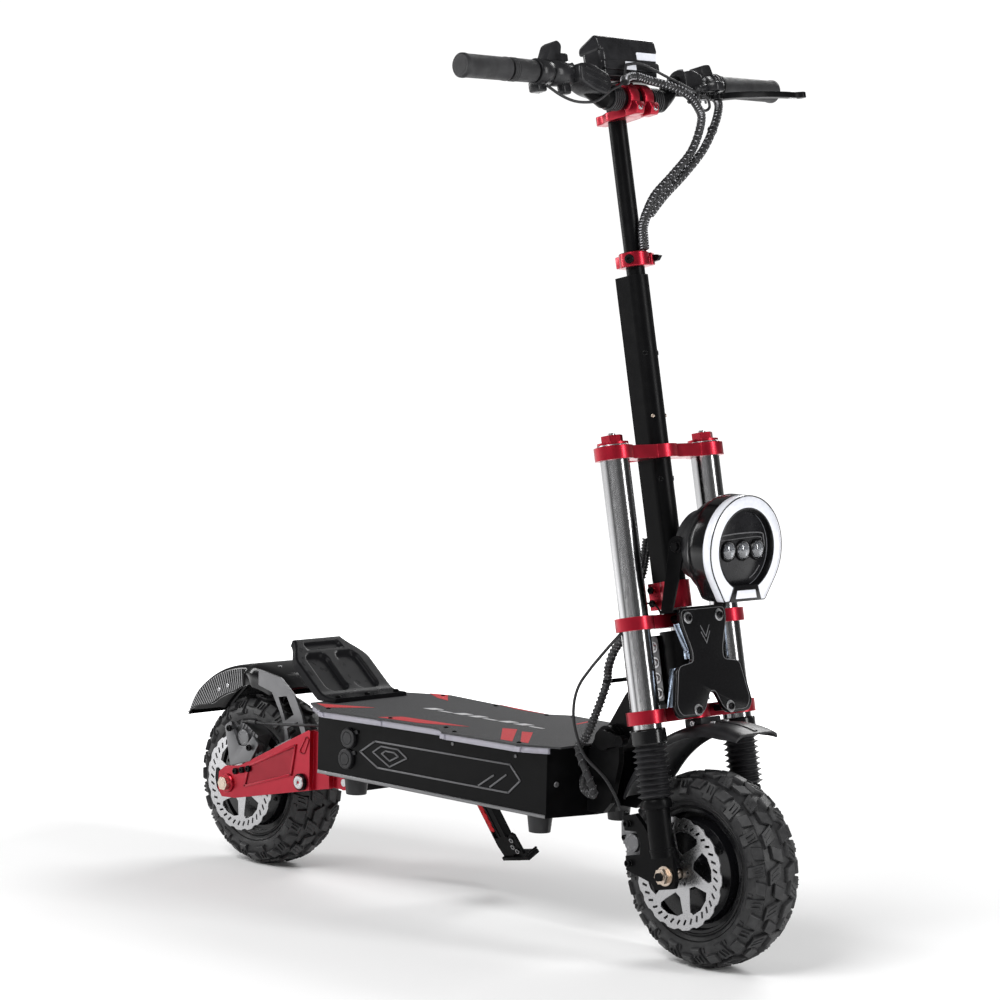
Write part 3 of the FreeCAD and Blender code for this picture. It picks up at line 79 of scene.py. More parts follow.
JOINTS = {joint["name"]: joint for joint in frame["joints"]}


# ---------------------------------------------------------------- local frames

def centre_of(node):
    """Middle of a CAD node's box, in metres."""
    low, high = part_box(node)
    return (low + high) / 2


def local_frame(origin, x_axis, z_axis):
    """Matrix from millimetres in a local frame to metres in the row frame."""
    y_axis = z_axis.cross(x_axis)
    turn = Matrix((x_axis, y_axis, z_axis)).transposed().to_4x4()
    return Matrix.Translation(origin) @ turn @ Matrix.Scale(MM, 4)


X_AXIS = Vector((1, 0, 0))
Z_AXIS = Vector((0, 0, 1))
FRONT = centre_of("front_tyre")
REAR = centre_of("rear_tyre")
FORK_UP = Vector(JOINTS["steering"]["axis"])
FORK_AHEAD = Vector((FORK_UP.z, 0, -FORK_UP.x))
RING_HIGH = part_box("headlight_ring")[1]
STAND_AXIS = Vector(JOINTS["kickstand"]["axis"])

CHASSIS = local_frame(Vector((REAR.x, 0, 0)), X_AXIS, Z_AXIS)
FORK = local_frame(FRONT, FORK_AHEAD, FORK_UP)
REAR_HUB = local_frame(REAR, X_AXIS, Z_AXIS)
LAMP = local_frame(Vector((RING_HIGH.x, 0, RING_HIGH.z - RING_HIGH.y)), X_AXIS, Z_AXIS)
STAND = local_frame(Vector(JOINTS["kickstand"]["pos_m"]), X_AXIS, X_AXIS.cross(STAND_AXIS))


# ---------------------------------------------------------------- solids

def aim(at, direction, turn=0.0):
    """Matrix that stands local Z on a point, along a direction."""
    way = Vector(direction).normalized()
    matrix = way.to_track_quat("Z", "Y").to_matrix().to_4x4()
    return Matrix.Translation(Vector(at)) @ matrix @ Matrix.Rotation(turn, 4, "Z")


def polygon_scale(corners, turn):
    """Radius of a regular polygon at an angle, as a share of its corner radius."""
    if not corners:
        return 1.0
    half = math.pi / corners
    return math.cos(half) / math.cos(turn % (2 * half) - half)


def lathe(profile, sides=48, closed=False):
    """Solid turned about Z from (radius, height) points; a third number makes that ring a polygon."""
    solid = bmesh.new()
    rings = []
    for step in range(sides):
        turn = 2 * math.pi * step / sides
        ring = []
        for radius, height, *corners in profile:
            reach = radius * polygon_scale(corners[0] if corners else 0, turn)
            ring.append(solid.verts.new((reach * math.cos(turn), reach * math.sin(turn), height)))
        rings.append(ring)
    count = len(profile)
    for step in range(sides):
        first = rings[step]
        second = rings[(step + 1) % sides]
        for here in range(count if closed else count - 1):
            there = (here + 1) % count
            solid.faces.new((first[here], second[here], second[there], first[there]))
    if not closed:
        solid.faces.new([ring[0] for ring in reversed(rings)])
        solid.faces.new([ring[-1] for ring in rings])
    return solid


def prism(points, low, high, plane="XY"):
    """Outline in a plane, drawn out along the third axis from low to high."""
    solid = bmesh.new()
    order = {"XY": (0, 1, 2), "XZ": (0, 2, 1), "YZ": (1, 2, 0)}[plane]
    layers = []
    for level in (low, high):
        layer = []
        for first, second in points:
            place = [0.0, 0.0, 0.0]
            place[order[0]] = first
            place[order[1]] = second
            place[order[2]] = level
            layer.append(solid.verts.new(place))
        layers.append(layer)
    count = len(points)
    solid.faces.new(layers[0])
    solid.faces.new(layers[1])
    for here in range(count):
        there = (here + 1) % count
        solid.faces.new((layers[0][here], layers[0][there], layers[1][there], layers[1][here]))
    return solid


def box(low, size):
    """Box from its lowest corner."""
    x, y, z = low
    length, width, height = size
    return prism([(x, y), (x + length, y), (x + length, y + width), (x, y + width)], z, z + height)


def bolt(radius, height):
    """Round bolt head with a hexagon socket, standing on Z zero."""
    edge = radius * 0.16
    return lathe([(radius, 0), (radius, height - edge), (radius - edge, height),
                  (radius * 0.62, height, 6), (radius * 0.58, height * 0.35, 6)], 24)


def smooth_path(points, steps=10):
    """Smooth curve through points, as a list of close points."""
    knots = [Vector(point) for point in points]
    knots = [knots[0] * 2 - knots[1]] + knots + [knots[-1] * 2 - knots[-2]]
    path = []
    for index in range(1, len(knots) - 2):
        before, start, end, after = knots[index - 1:index + 3]
        for step in range(steps):
            t = step / steps
            square = 2 * before - 5 * start + 4 * end - after
            cube = 3 * start - before - 3 * end + after
            path.append(0.5 * (2 * start + (end - before) * t + square * t ** 2 + cube * t ** 3))
    path.append(knots[-2])
    return path


def path_frames(path):
    """Point, direction and two steady side directions all along a path."""
    frames = []
    side = None
    for index, point in enumerate(path):
        ahead = path[min(index + 1, len(path) - 1)] - path[max(index - 1, 0)]
        ahead.normalize()
        if side is None:
            side = ahead.orthogonal().normalized()
        side = (side - ahead * side.dot(ahead)).normalized()
        frames.append((point, ahead, side, ahead.cross(side)))
    return frames


def tube(path, radius, sides=12):
    """Solid round cable along a path; the radius may be a function of the share of its length."""
    solid = bmesh.new()
    rings = []
    frames = path_frames(path)
    for index, (point, _, side, other) in enumerate(frames):
        reach = radius(index / (len(frames) - 1)) if callable(radius) else radius
        ring = []
        for step in range(sides):
            turn = 2 * math.pi * step / sides
            ring.append(solid.verts.new(point + (side * math.cos(turn) + other * math.sin(turn)) * reach))
        rings.append(ring)
    for first, second in zip(rings, rings[1:]):
        for step in range(sides):
            there = (step + 1) % sides
            solid.faces.new((first[step], first[there], second[there], second[step]))
    solid.faces.new(list(reversed(rings[0])))
    solid.faces.new(rings[-1])
    return solid


def wound_path(path, radius, pitch, steps=10, hand=1, phase=0.0):
    """Path of a strip wound round another path, right-handed or left-handed."""
    length = sum((second - first).length for first, second in zip(path, path[1:]))
    count = max(2, int(length / pitch * steps))
    frames = path_frames(path)
    wound = []
    for index in range(count + 1):
        place = index / count * (len(frames) - 1)
        low = min(int(place), len(frames) - 2)
        share = place - low
        point, _, side, other = frames[low]
        after = frames[low + 1]
        turn = 2 * math.pi * (phase + hand * index / steps)
        middle = point.lerp(after[0], share)
        side = side.lerp(after[2], share).normalized()
        other = other.lerp(after[3], share).normalized()
        wound.append(middle + (side * math.cos(turn) + other * math.sin(turn)) * radius)
    return wound


class Shape:
    """Mesh of one piece, gathered from closed solids in the millimetres of a local frame."""

    def __init__(self):
        self.mesh = bmesh.new()

    def add(self, solid, bevel=0.0, place=None, steps=2):
        """Join a solid to the piece, with its sharp edges rounded."""
        bmesh.ops.recalc_face_normals(solid, faces=solid.faces)
        if bevel:
            sharp = [edge for edge in solid.edges if edge.is_manifold and edge.calc_face_angle(0) > 0.5]
            bmesh.ops.bevel(solid, geom=sharp, offset=bevel, segments=steps, profile=0.5, affect="EDGES",
                            clamp_overlap=True)
        if place is not None:
            solid.transform(place)
        data = bpy.data.meshes.new("solid")
        solid.to_mesh(data)
        self.mesh.from_mesh(data)
        bpy.data.meshes.remove(data)
        solid.free()
        return self

    def bolts(self, places, direction, radius, height):
        """Several equal bolt heads."""
        for place in places:
            self.add(bolt(radius, height), 0, aim(place, direction))
        return self

    def make(self, name, body, material, base, replaces=(), soft=35):
        """Turn the gathered mesh into a named piece that rides on a body."""
        data = bpy.data.meshes.new(name)
        self.mesh.transform(base)
        self.mesh.to_mesh(data)
        self.mesh.free()
        for face in data.polygons:
            face.use_smooth = True
        data.set_sharp_from_angle(angle=math.radians(soft))
        piece = bpy.data.objects.new(name, data)
        bpy.context.scene.collection.objects.link(piece)
        data.materials.append(FINISHES[material])
        if body:
            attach(piece, body)
        if replaces:
            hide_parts(*replaces)
        return piece


# ---------------------------------------------------------------- materials

class Finish:
    """Node-based material with short calls for the nodes it needs."""

    def __init__(self, name, colour, rough, metal=0.0):
        self.material = bpy.data.materials.new(name)
        self.material.use_nodes = True
        self.tree = self.material.node_tree
        self.shader = self.tree.nodes["Principled BSDF"]
        self.set("Base Color", (*colour, 1.0))
        self.set("Roughness", rough)
        self.set("Metallic", metal)
        self.where = self.node("ShaderNodeTexCoord", {}).outputs["Object"]

    def set(self, name, value):
        """Give the main shader's input a value or a link."""
        if isinstance(value, bpy.types.NodeSocket):
            self.tree.links.new(value, self.shader.inputs[name])
        else:
            self.shader.inputs[name].default_value = value
        return self

    def node(self, kind, inputs, **settings):
        """Add a node; inputs are values or links by name or place."""
        made = self.tree.nodes.new(kind)
        for name, value in settings.items():
            setattr(made, name, value)
        for name, value in inputs.items():
            if isinstance(value, bpy.types.NodeSocket):
                self.tree.links.new(value, made.inputs[name])
            else:
                made.inputs[name].default_value = value
        return made

    def noise(self, scale, detail=3.0, where=None):
        """Cloudy noise at a scale in features a metre."""
        inputs = {"Vector": where or self.where, "Scale": scale, "Detail": detail}
        return self.node("ShaderNodeTexNoise", inputs).outputs["Fac"]

    def math(self, operation, first, second=0.0):
        """Arithmetic on two values."""
        return self.node("ShaderNodeMath", {0: first, 1: second}, operation=operation).outputs[0]

    def spread(self, value, low, high, start=0.0, end=1.0):
        """Value moved from one span to another, kept inside it."""
        inputs = {"Value": value, "From Min": start, "From Max": end, "To Min": low, "To Max": high}
        return self.node("ShaderNodeMapRange", inputs).outputs["Result"]

    def mix(self, share, first, second):
        """Blend of two colours."""
        made = self.node("ShaderNodeMix", {"Factor": share}, data_type="RGBA")
        for slot, value in ((6, first), (7, second)):
            if isinstance(value, bpy.types.NodeSocket):
                self.tree.links.new(value, made.inputs[slot])
            else:
                made.inputs[slot].default_value = (*value, 1.0)
        return made.outputs[2]

    def grain(self, scale, strength, depth=0.0002, height=None, normal=None):
        """Fine surface relief from noise or from a given height."""
        inputs = {"Height": height or self.noise(scale, 4.0), "Strength": strength, "Distance": depth}
        if normal is not None:
            inputs["Normal"] = normal
        self.set("Normal", self.node("ShaderNodeBump", inputs).outputs["Normal"])
        return self

    def soft_edges(self, radius=0.0007):
        """Rounded look for the square edges of CAD solids."""
        return self.node("ShaderNodeBevel", {"Radius": radius}, samples=6).outputs["Normal"]

    def painted_edge_highlight(self, colour, highlight_colour, amount=0.6):
        """Painted highlight: lighter colour along the edges, broken up by noise."""
        rounded = self.node("ShaderNodeBevel", {"Radius": 0.0012}, samples=6).outputs["Normal"]
        plain = self.node("ShaderNodeNewGeometry", {}).outputs["Normal"]
        dot = self.node("ShaderNodeVectorMath", {0: rounded, 1: plain},
                        operation="DOT_PRODUCT").outputs["Value"]
        edge = self.spread(dot, amount, 0.0, 0.75, 0.985)
        # Noise breaks up the painted edge highlight.
        highlight_share = self.math("MULTIPLY", edge, self.spread(self.noise(260.0), 0.15, 1.0, 0.4, 0.65))
        self.set("Base Color", self.mix(highlight_share, colour, highlight_colour))
        return self


def coated(name, colour, highlight_colour, rough, metal, grain, coat=0.0, highlight_amount=0.5, gloss=0.5):
    """Painted, anodised or cast metal with soft edges, a painted highlight along its edges and uneven gloss.
    """
    made = Finish(name, colour, rough, metal)
    made.set("Specular IOR Level", gloss)
    # Painted highlight: the edges take the lighter second colour.
    made.painted_edge_highlight(colour, highlight_colour, highlight_amount)
    patches = made.noise(55.0)
    made.set("Roughness", made.spread(patches, rough * 0.85, rough * 1.2, 0.3, 0.7))
    made.grain(grain, 0.35, 0.00012, normal=made.soft_edges())
    made.set("Coat Weight", coat)
    made.set("Coat Roughness", 0.18)
    return made.material


def moulded(name, colour, rough, grain=1400.0, depth=0.0002, strength=0.5, gloss=0.22):
    """Moulded plastic or rubber with a fine leather-like grain."""
    made = Finish(name, colour, rough)
    made.set("Specular IOR Level", gloss)
    cells = made.node("ShaderNodeTexVoronoi", {"Vector": made.where, "Scale": grain}).outputs["Distance"]
    made.grain(grain, strength, depth, height=cells, normal=made.soft_edges())
    tone = made.spread(made.noise(40.0), 0.0, 1.0, 0.35, 0.65)
    lighter = tuple(min(1.0, part * 1.5 + 0.004) for part in colour)
    made.set("Base Color", made.mix(tone, colour, lighter))
    made.set("Roughness", made.spread(made.noise(120.0), rough * 0.9, rough * 1.15, 0.3, 0.7))
    return made.material


def even_paint(name, colour, rough):
    """Smooth satin paint with faint orange peel, for curved castings."""
    made = Finish(name, colour, rough)
    made.set("Specular IOR Level", 0.06)
    made.set("Roughness", made.spread(made.noise(70.0), rough * 0.85, rough * 1.2, 0.3, 0.7))
    made.grain(700.0, 0.2, 0.0001)
    return made.material


def polished(name, colour, rough, lines=0.0, stretch=(1.0, 1.0, 1.0)):
    """Bare metal, polished or finely brushed along a direction."""
    made = Finish(name, colour, rough, 1.0)
    place = made.node("ShaderNodeMapping", {"Vector": made.where, "Scale": stretch}).outputs["Vector"]
    streaks = made.noise(900.0, 2.0, place)
    made.set("Roughness", made.spread(streaks, rough * 0.7, rough * 1.4, 0.3, 0.7))
    made.grain(900.0, 0.12 + lines, 0.00005, height=streaks, normal=made.soft_edges(0.0004))
    return made.material


# Direction and tone bands of the painted reflection on chrome.
PAINTED_REFLECTION_ACROSS = Vector((0.70, 0.71, 0.0))
PAINTED_REFLECTION_BANDS = ((0.0, 0.30), (0.13, 0.45), (0.22, 0.10), (0.30, 0.80), (0.46, 0.80), (0.56, 0.30),
                (0.76, 0.16),
                (0.86, 0.05), (0.97, 0.45))


def painted_reflection_chrome(material):
    """Plated tube with a painted reflection: its base colour runs in bands by the way the surface faces,
    standing in for the dark and bright sides of a studio.
    """
    tree = material.node_tree
    facing = tree.nodes.new("ShaderNodeVectorMath")
    facing.operation = "DOT_PRODUCT"
    tree.links.new(tree.nodes.new("ShaderNodeNewGeometry").outputs["Normal"], facing.inputs[0])
    facing.inputs[1].default_value = PAINTED_REFLECTION_ACROSS
    place = tree.nodes.new("ShaderNodeMapRange")
    place.inputs["From Min"].default_value = -1.0
    tree.links.new(facing.outputs["Value"], place.inputs["Value"])
    # Painted reflection: the colour ramp turns the facing into bright and dark bands.
    reflection_ramp = tree.nodes.new("ShaderNodeValToRGB")
    points = reflection_ramp.color_ramp.elements
    while len(points) < len(PAINTED_REFLECTION_BANDS):
        points.new(0.5)
    for point, (where, tone) in zip(points, PAINTED_REFLECTION_BANDS):
        point.position = where
        point.color = (tone, tone, tone * 1.02, 1.0)
    tree.links.new(place.outputs["Result"], reflection_ramp.inputs["Fac"])
    tree.links.new(reflection_ramp.outputs["Color"], tree.nodes["Principled BSDF"].inputs["Base Color"])
    return material


def tyre_material():
    """Dark rubber with patches of lighter dust and a fine cast texture."""
    made = Finish("tyre_rubber", (0.012, 0.012, 0.013), 0.55)
    dust = made.spread(made.noise(90.0, 5.0), 0.0, 1.0, 0.42, 0.7)
    made.set("Base Color", made.mix(dust, (0.010, 0.010, 0.011), (0.024, 0.024, 0.025)))
    made.set("Roughness", made.spread(made.noise(35.0), 0.42, 0.62, 0.3, 0.7))
    made.grain(1600.0, 0.4, 0.00025)
    return made.material


def clear_material(name, tint, rough, ridges):
    """Clear plastic with fine ribs inside."""
    made = Finish(name, tint, rough)
    made.set("Transmission Weight", 0.55)
    made.set("IOR", 1.46)
    waves = made.node("ShaderNodeTexWave", {"Vector": made.where, "Scale": ridges, "Distortion": 0.4})
    made.grain(0.0, 0.4, 0.0006, height=waves.outputs["Fac"])
    made.set("Base Color", made.mix(waves.outputs["Fac"], tint, tuple(part * 0.72 for part in tint)))
    return made.material


def glowing_ring_material():
    """Milky light ring: white diffuser over a row of cells, softly lit."""
    made = Finish("white_ring", (0.86, 0.87, 0.90), 0.28)
    cells = made.node("ShaderNodeTexVoronoi", {"Vector": made.where, "Scale": 160.0}).outputs["Distance"]
    made.set("Base Color", made.mix(made.spread(cells, 0.0, 0.5), (0.70, 0.71, 0.75), (0.52, 0.54, 0.60)))
    made.set("Subsurface Weight", 0.25)
    made.set("Subsurface Radius", (0.004, 0.004, 0.004))
    made.set("Emission Color", (0.9, 0.93, 1.0, 1.0))
    made.set("Emission Strength", 0.12)
    made.set("Coat Weight", 0.6)
    made.grain(500.0, 0.1, 0.0001)
    return made.material


def lens_material():
    """Projector lens: clear glass with a faint ring structure."""
    made = Finish("lens_glass", (0.62, 0.65, 0.70), 0.03)
    made.set("Transmission Weight", 0.88)
    made.set("IOR", 1.5)
    made.set("Coat Weight", 1.0)
    rings = made.node("ShaderNodeTexWave", {"Vector": made.where, "Scale": 120.0, "Distortion": 0.0})
    made.grain(0.0, 0.08, 0.0002, height=rings.outputs["Fac"])
    return made.material


def grip_tape_material(name, colour, speck):
    """Gritty anti-slip sheet: fine grains, a few of them shining."""
    made = Finish(name, colour, 0.62)
    grit = made.node("ShaderNodeTexVoronoi", {"Vector": made.where, "Scale": 1500.0})
    shine = made.spread(grit.outputs["Color"], 0.0, 1.0, 0.72, 0.95)
    made.set("Base Color", made.mix(shine, colour, speck))
    made.set("Roughness", made.spread(grit.outputs["Distance"], 0.4, 0.75, 0.0, 0.6))
    made.grain(0.0, 0.7, 0.0004, height=grit.outputs["Distance"])
    return made.material


def braid_material():
    """Braided cable sleeve with pale flecks."""
    made = Finish("braid", (0.015, 0.015, 0.016), 0.5)
    weave = made.node("ShaderNodeTexVoronoi", {"Vector": made.where, "Scale": 330.0})
    fleck = made.spread(weave.outputs["Distance"], 1.0, 0.0, 0.12, 0.26)
    made.set("Base Color", made.mix(fleck, (0.013, 0.013, 0.014), (0.36, 0.36, 0.38)))
    made.grain(0.0, 0.8, 0.0005, height=weave.outputs["Distance"])
    return made.material


# In every coated finish the second colour is a painted highlight along the edges.
FINISHES = {
    "black_metal": coated("black_metal", (0.0022, 0.0022, 0.0025), (0.022, 0.022, 0.024), 0.34, 0.0,
                          2200.0, 0.0, 0.5, 0.08),
    "red_metal": coated("red_metal", (0.34, 0.007, 0.022), (0.65, 0.18, 0.22), 0.33, 0.85, 2600.0, 0.22,
                        0.35),
    # The chrome's banded base colour is a painted reflection.
    "chrome_tube": painted_reflection_chrome(polished("chrome_tube", (0.46, 0.46, 0.48), 0.16, 0.1, (1.0, 1.0, 0.02))),
    "plain_steel": polished("plain_steel", (0.46, 0.46, 0.47), 0.28, 0.2),
    "cast_alloy": coated("cast_alloy", (0.16, 0.16, 0.165), (0.4, 0.4, 0.41), 0.38, 0.9, 900.0),
    "brass_nut": polished("brass_nut", (0.55, 0.46, 0.38), 0.3, 0.2),
    "black_plastic": moulded("black_plastic", (0.007, 0.007, 0.008), 0.38),
    "grey_plastic": moulded("grey_plastic", (0.10, 0.10, 0.105), 0.5),
    "gloss_black": coated("gloss_black", (0.004, 0.004, 0.0045), (0.03, 0.03, 0.03), 0.10, 0.0, 3000.0,
                          0.12, 0.3, 0.22),
    "white_ring": glowing_ring_material(),
    "clear_strip": clear_material("clear_strip", (0.70, 0.68, 0.78), 0.18, 420.0),
    "lens_glass": lens_material(),
    "grip_tape": grip_tape_material("grip_tape", (0.022, 0.022, 0.024), (0.10, 0.10, 0.105)),
    "red_tape": grip_tape_material("red_tape", (0.48, 0.012, 0.02), (0.75, 0.12, 0.12)),
    "black_rubber": moulded("black_rubber", (0.007, 0.007, 0.008), 0.42, 1100.0, gloss=0.36),
    "tyre_rubber": tyre_material(),
    "hub_paint": coated("hub_paint", (0.005, 0.005, 0.006), (0.04, 0.04, 0.04), 0.24, 0.0, 1500.0, 0.1,
                        0.5, 0.3),
    "blue_wrap": moulded("blue_wrap", (0.02, 0.06, 0.30), 0.35, 400.0),
    "copper_coil": polished("copper_coil", (0.80, 0.36, 0.16), 0.3, 0.4, (1.0, 20.0, 1.0)),
    "braid": braid_material(),
    "trim_grey": coated("trim_grey", (0.10, 0.10, 0.105), (0.3, 0.3, 0.3), 0.38, 0.4, 1800.0),
    "pale_tape": grip_tape_material("pale_tape", (0.50, 0.50, 0.51), (0.8, 0.8, 0.8)),
    "footrest_paint": even_paint("footrest_paint", (0.008, 0.008, 0.009), 0.3),
    "gloss_plastic": moulded("gloss_plastic", (0.010, 0.010, 0.011), 0.16, 600.0, 0.0001, 0.2),
    "grip_rubber": moulded("grip_rubber", (0.017, 0.017, 0.018), 0.52, 1200.0, 0.0003, 0.5),
    "control_black": moulded("control_black", (0.009, 0.009, 0.010), 0.24, 700.0, 0.0001, 0.25),
    "fender_dark": coated("fender_dark", (0.006, 0.006, 0.006), (0.02, 0.02, 0.02), 0.5, 0.0, 1500.0, 0.0,
                          0.5, 0.1),
    "fender_grey": coated("fender_grey", (0.20, 0.20, 0.205), (0.4, 0.4, 0.4), 0.4, 0.4, 1500.0),
    "fender_black": moulded("fender_black", (0.009, 0.009, 0.010), 0.38, 900.0, 0.0002, 0.3),
    "red_rough": moulded("red_rough", (0.42, 0.012, 0.016), 0.6, 300.0, 0.0008, 0.8),
    "dark_steel": polished("dark_steel", (0.20, 0.20, 0.205), 0.34, 0.2),
    "blued_steel": polished("blued_steel", (0.42, 0.50, 0.62), 0.2, 0.1),
    "red_shade": coated("red_shade", (0.24, 0.004, 0.014), (0.4, 0.08, 0.1), 0.36, 0.85, 2600.0, 0.2, 0.3),
    "dark_glass": coated("dark_glass", (0.003, 0.003, 0.004), (0.02, 0.02, 0.02), 0.12, 0.0, 3000.0, 0.0,
                         0.2, 0.12),
    "pale_fleck": moulded("pale_fleck", (0.42, 0.42, 0.44), 0.5),
    "lamp_face": moulded("lamp_face", (0.006, 0.006, 0.007), 0.25, 900.0, 0.0001, 0.2),
}



# ---------------------------------------------------------------- wheels

TYRE_CORE = 104.0      # radius at which the tyre is widest
TYRE_RISE = 30.0       # from there to the crown under the blocks
TYRE_HALF = 43.0
KNOB_HEIGHT = 6.0
ALONG_AXLE = Matrix.Rotation(-math.pi / 2, 4, "X")


def tyre_point(turn, lean, lift):
    """Point of a tyre's surface: turn round the axle, lean from crown (0) to wall (+-pi/2), lift above it."""
    rise = TYRE_RISE * abs(math.cos(lean)) ** 0.62
    reach = TYRE_HALF * math.sin(lean)
    slope = Vector((math.cos(lean) * 0.9 + 0.1 * (1 - abs(math.sin(lean))), math.sin(lean))).normalized()
    radius = TYRE_CORE + rise + lift * slope.x
    side = reach + lift * slope.y
    return Vector((radius * math.cos(turn), radius * math.sin(turn), side))


def knob(outline, turn, height):
    """Tread block with a drafted, bevelled top; the outline is in (turn, lean) and runs round the block."""
    solid = bmesh.new()
    middle_turn = sum(point[0] for point in outline) / len(outline)
    middle_lean = sum(point[1] for point in outline) / len(outline)
    layers = []
    for lift, share in ((-2.5, 1.06), (height - 1.1, 0.94), (height, 0.84)):
        layer = []
        for along, lean in outline:
            here = turn + middle_turn + (along - middle_turn) * share
            across = middle_lean + (lean - middle_lean) * share
            layer.append(solid.verts.new(tyre_point(here, across, lift)))
        layers.append(layer)
    count = len(outline)
    solid.faces.new(list(reversed(layers[0])))
    for lower, upper in zip(layers, layers[1:]):
        for here in range(count):
            there = (here + 1) % count
            solid.faces.new((lower[here], lower[there], upper[there], upper[here]))
    solid.faces.new(layers[-1])
    return solid


def slanted(centre_turn, centre_lean, length, width, slant):
    """Four-cornered block outline; sizes in degrees round the axle and across the tread."""
    corners = []
    for first, second in ((-1, -1), (1, -1), (1, 1), (-1, 1)):
        along = centre_turn + first * length / 2 + second * slant
        corners.append((math.radians(along), math.radians(centre_lean + second * width / 2)))
    return corners


def tyre(name, hub, body, node, flip):
    """Knobby off-road tyre: smooth carcass, sidewall rings and three rows of staggered blocks."""
    shape = Shape()
    section = [(88.2, -29), (90, -33.5), (95, -38)]
    for step in range(25):
        lean = -math.pi / 2 + math.pi * step / 24
        point = tyre_point(0, lean, 0)
        section.append((point.x, point.z))
    section += [(95, 38), (90, 33.5), (88.2, 29)]
    shape.add(lathe(section, 120, closed=True))
    for side in (-1, 1):
        for radius, offset in ((92.5, 36.4), (99.5, 41.2)):
            ring = [(radius - 1.2, side * (offset - 1.5)), (radius, side * (offset + 0.7)),
                    (radius + 1.2, side * (offset - 1.0))]
            shape.add(lathe(ring, 96, closed=True))
    repeats = 16
    pitch = 360 / repeats
    for index in range(repeats):
        turn = math.radians(pitch * index)
        for side in (-1, 1):
            shift = pitch / 2 if side > 0 else 0.0
            # Long and short shoulder lugs take turns; each reaches over the edge onto the wall.
            shape.add(knob(slanted(shift + 3.0, side * 66, 8.4, 44, side * 0.8), turn, 5.4))
            shape.add(knob(slanted(shift + 14.2, side * 57, 8.8, 27, side * -0.9), turn, 5.8))
            # Middle blocks: a big wedge and an oval one beside it.
            shape.add(knob(slanted(shift + 5.6, side * 24, 9.4, 27, side * 2.4), turn, KNOB_HEIGHT))
            shape.add(knob(slanted(shift + 16.8, side * 15, 8.6, 23, side * -1.8), turn, KNOB_HEIGHT))
            # Raised bar between the shoulder lugs.
            shape.add(knob(slanted(shift + 20.0, side * 83, 2.2, 10, 0), turn, 1.6))
            # Sipe lips: thin ridges that edge the cuts in the blocks.
            for offset in (-1.5, 1.5):
                shape.add(knob(slanted(shift + 5.6 + offset, side * 24, 0.9, 17, side * 2.0), turn,
                               KNOB_HEIGHT + 0.5))
                shape.add(knob(slanted(shift + 3.0 + offset, side * 62, 0.8, 22, side * 0.6), turn, 5.9))
    spin = Matrix.Rotation(math.pi, 4, "X") if flip else Matrix.Identity(4)
    return shape.make(name, body, "tyre_rubber", hub @ ALONG_AXLE @ spin, replaces=[node], soft=42)


def rim_details(name, hub, body):
    """Polished lip on the rim and cover screws."""
    shape = Shape()
    for side in (-1, 1):
        lip = [(86.5, side * 34.5), (89.5, side * 37.2), (91.5, side * 36.8), (92.4, side * 34.8),
               (88, side * 33)]
        shape.add(lathe(lip, 96, closed=True))
        for index in range(8):
            turn = 2 * math.pi * (index + 0.5) / 8
            place = (63 * math.cos(turn), 63 * math.sin(turn), side * 41.0)
            shape.add(bolt(3.4, 3.0), 0, aim(place, (0, 0, side)))
    shape.make(name, body, "gloss_black", hub @ ALONG_AXLE)


for wheel, hub in (("front", FORK), ("rear", REAR_HUB)):
    tyre(wheel + "_knobby_tyre", hub, wheel + "_wheel", wheel + "_tyre", wheel == "rear")
    rim_details(wheel + "_rim_details", hub, wheel + "_wheel")


# ---------------------------------------------------------------- fork

TUBE_Y = 95.6
BOOT_LOW = 109.0
BOOT_HIGH = 190.0


def boots():
    """Pleated rubber boots round the lower legs."""
    shape = Shape()
    folds = 10
    step = (BOOT_HIGH - BOOT_LOW) / folds
    for side in (-1, 1):
        outside = []
        for index in range(folds):
            low = BOOT_LOW + step * index
            outside += [(19.8, low + 0.4), (21.2, low + step * 0.22), (25.2, low + step * 0.44),
                        (25.6, low + step * 0.5), (25.2, low + step * 0.56), (21.2, low + step * 0.78)]
        inside = [(18.9, BOOT_HIGH), (18.9, BOOT_LOW + 0.4)]
        profile = outside + [(19.8, BOOT_HIGH)] + inside
        shape.add(lathe(profile, 40, closed=True), 0, Matrix.Translation((0, side * TUBE_Y, 0)))
    piece = shape.make("pleated_boots", None, "black_rubber", FORK, replaces=["fork_boots"], soft=60)
    low = FORK @ Vector((0, 0, BOOT_LOW))
    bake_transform(piece)


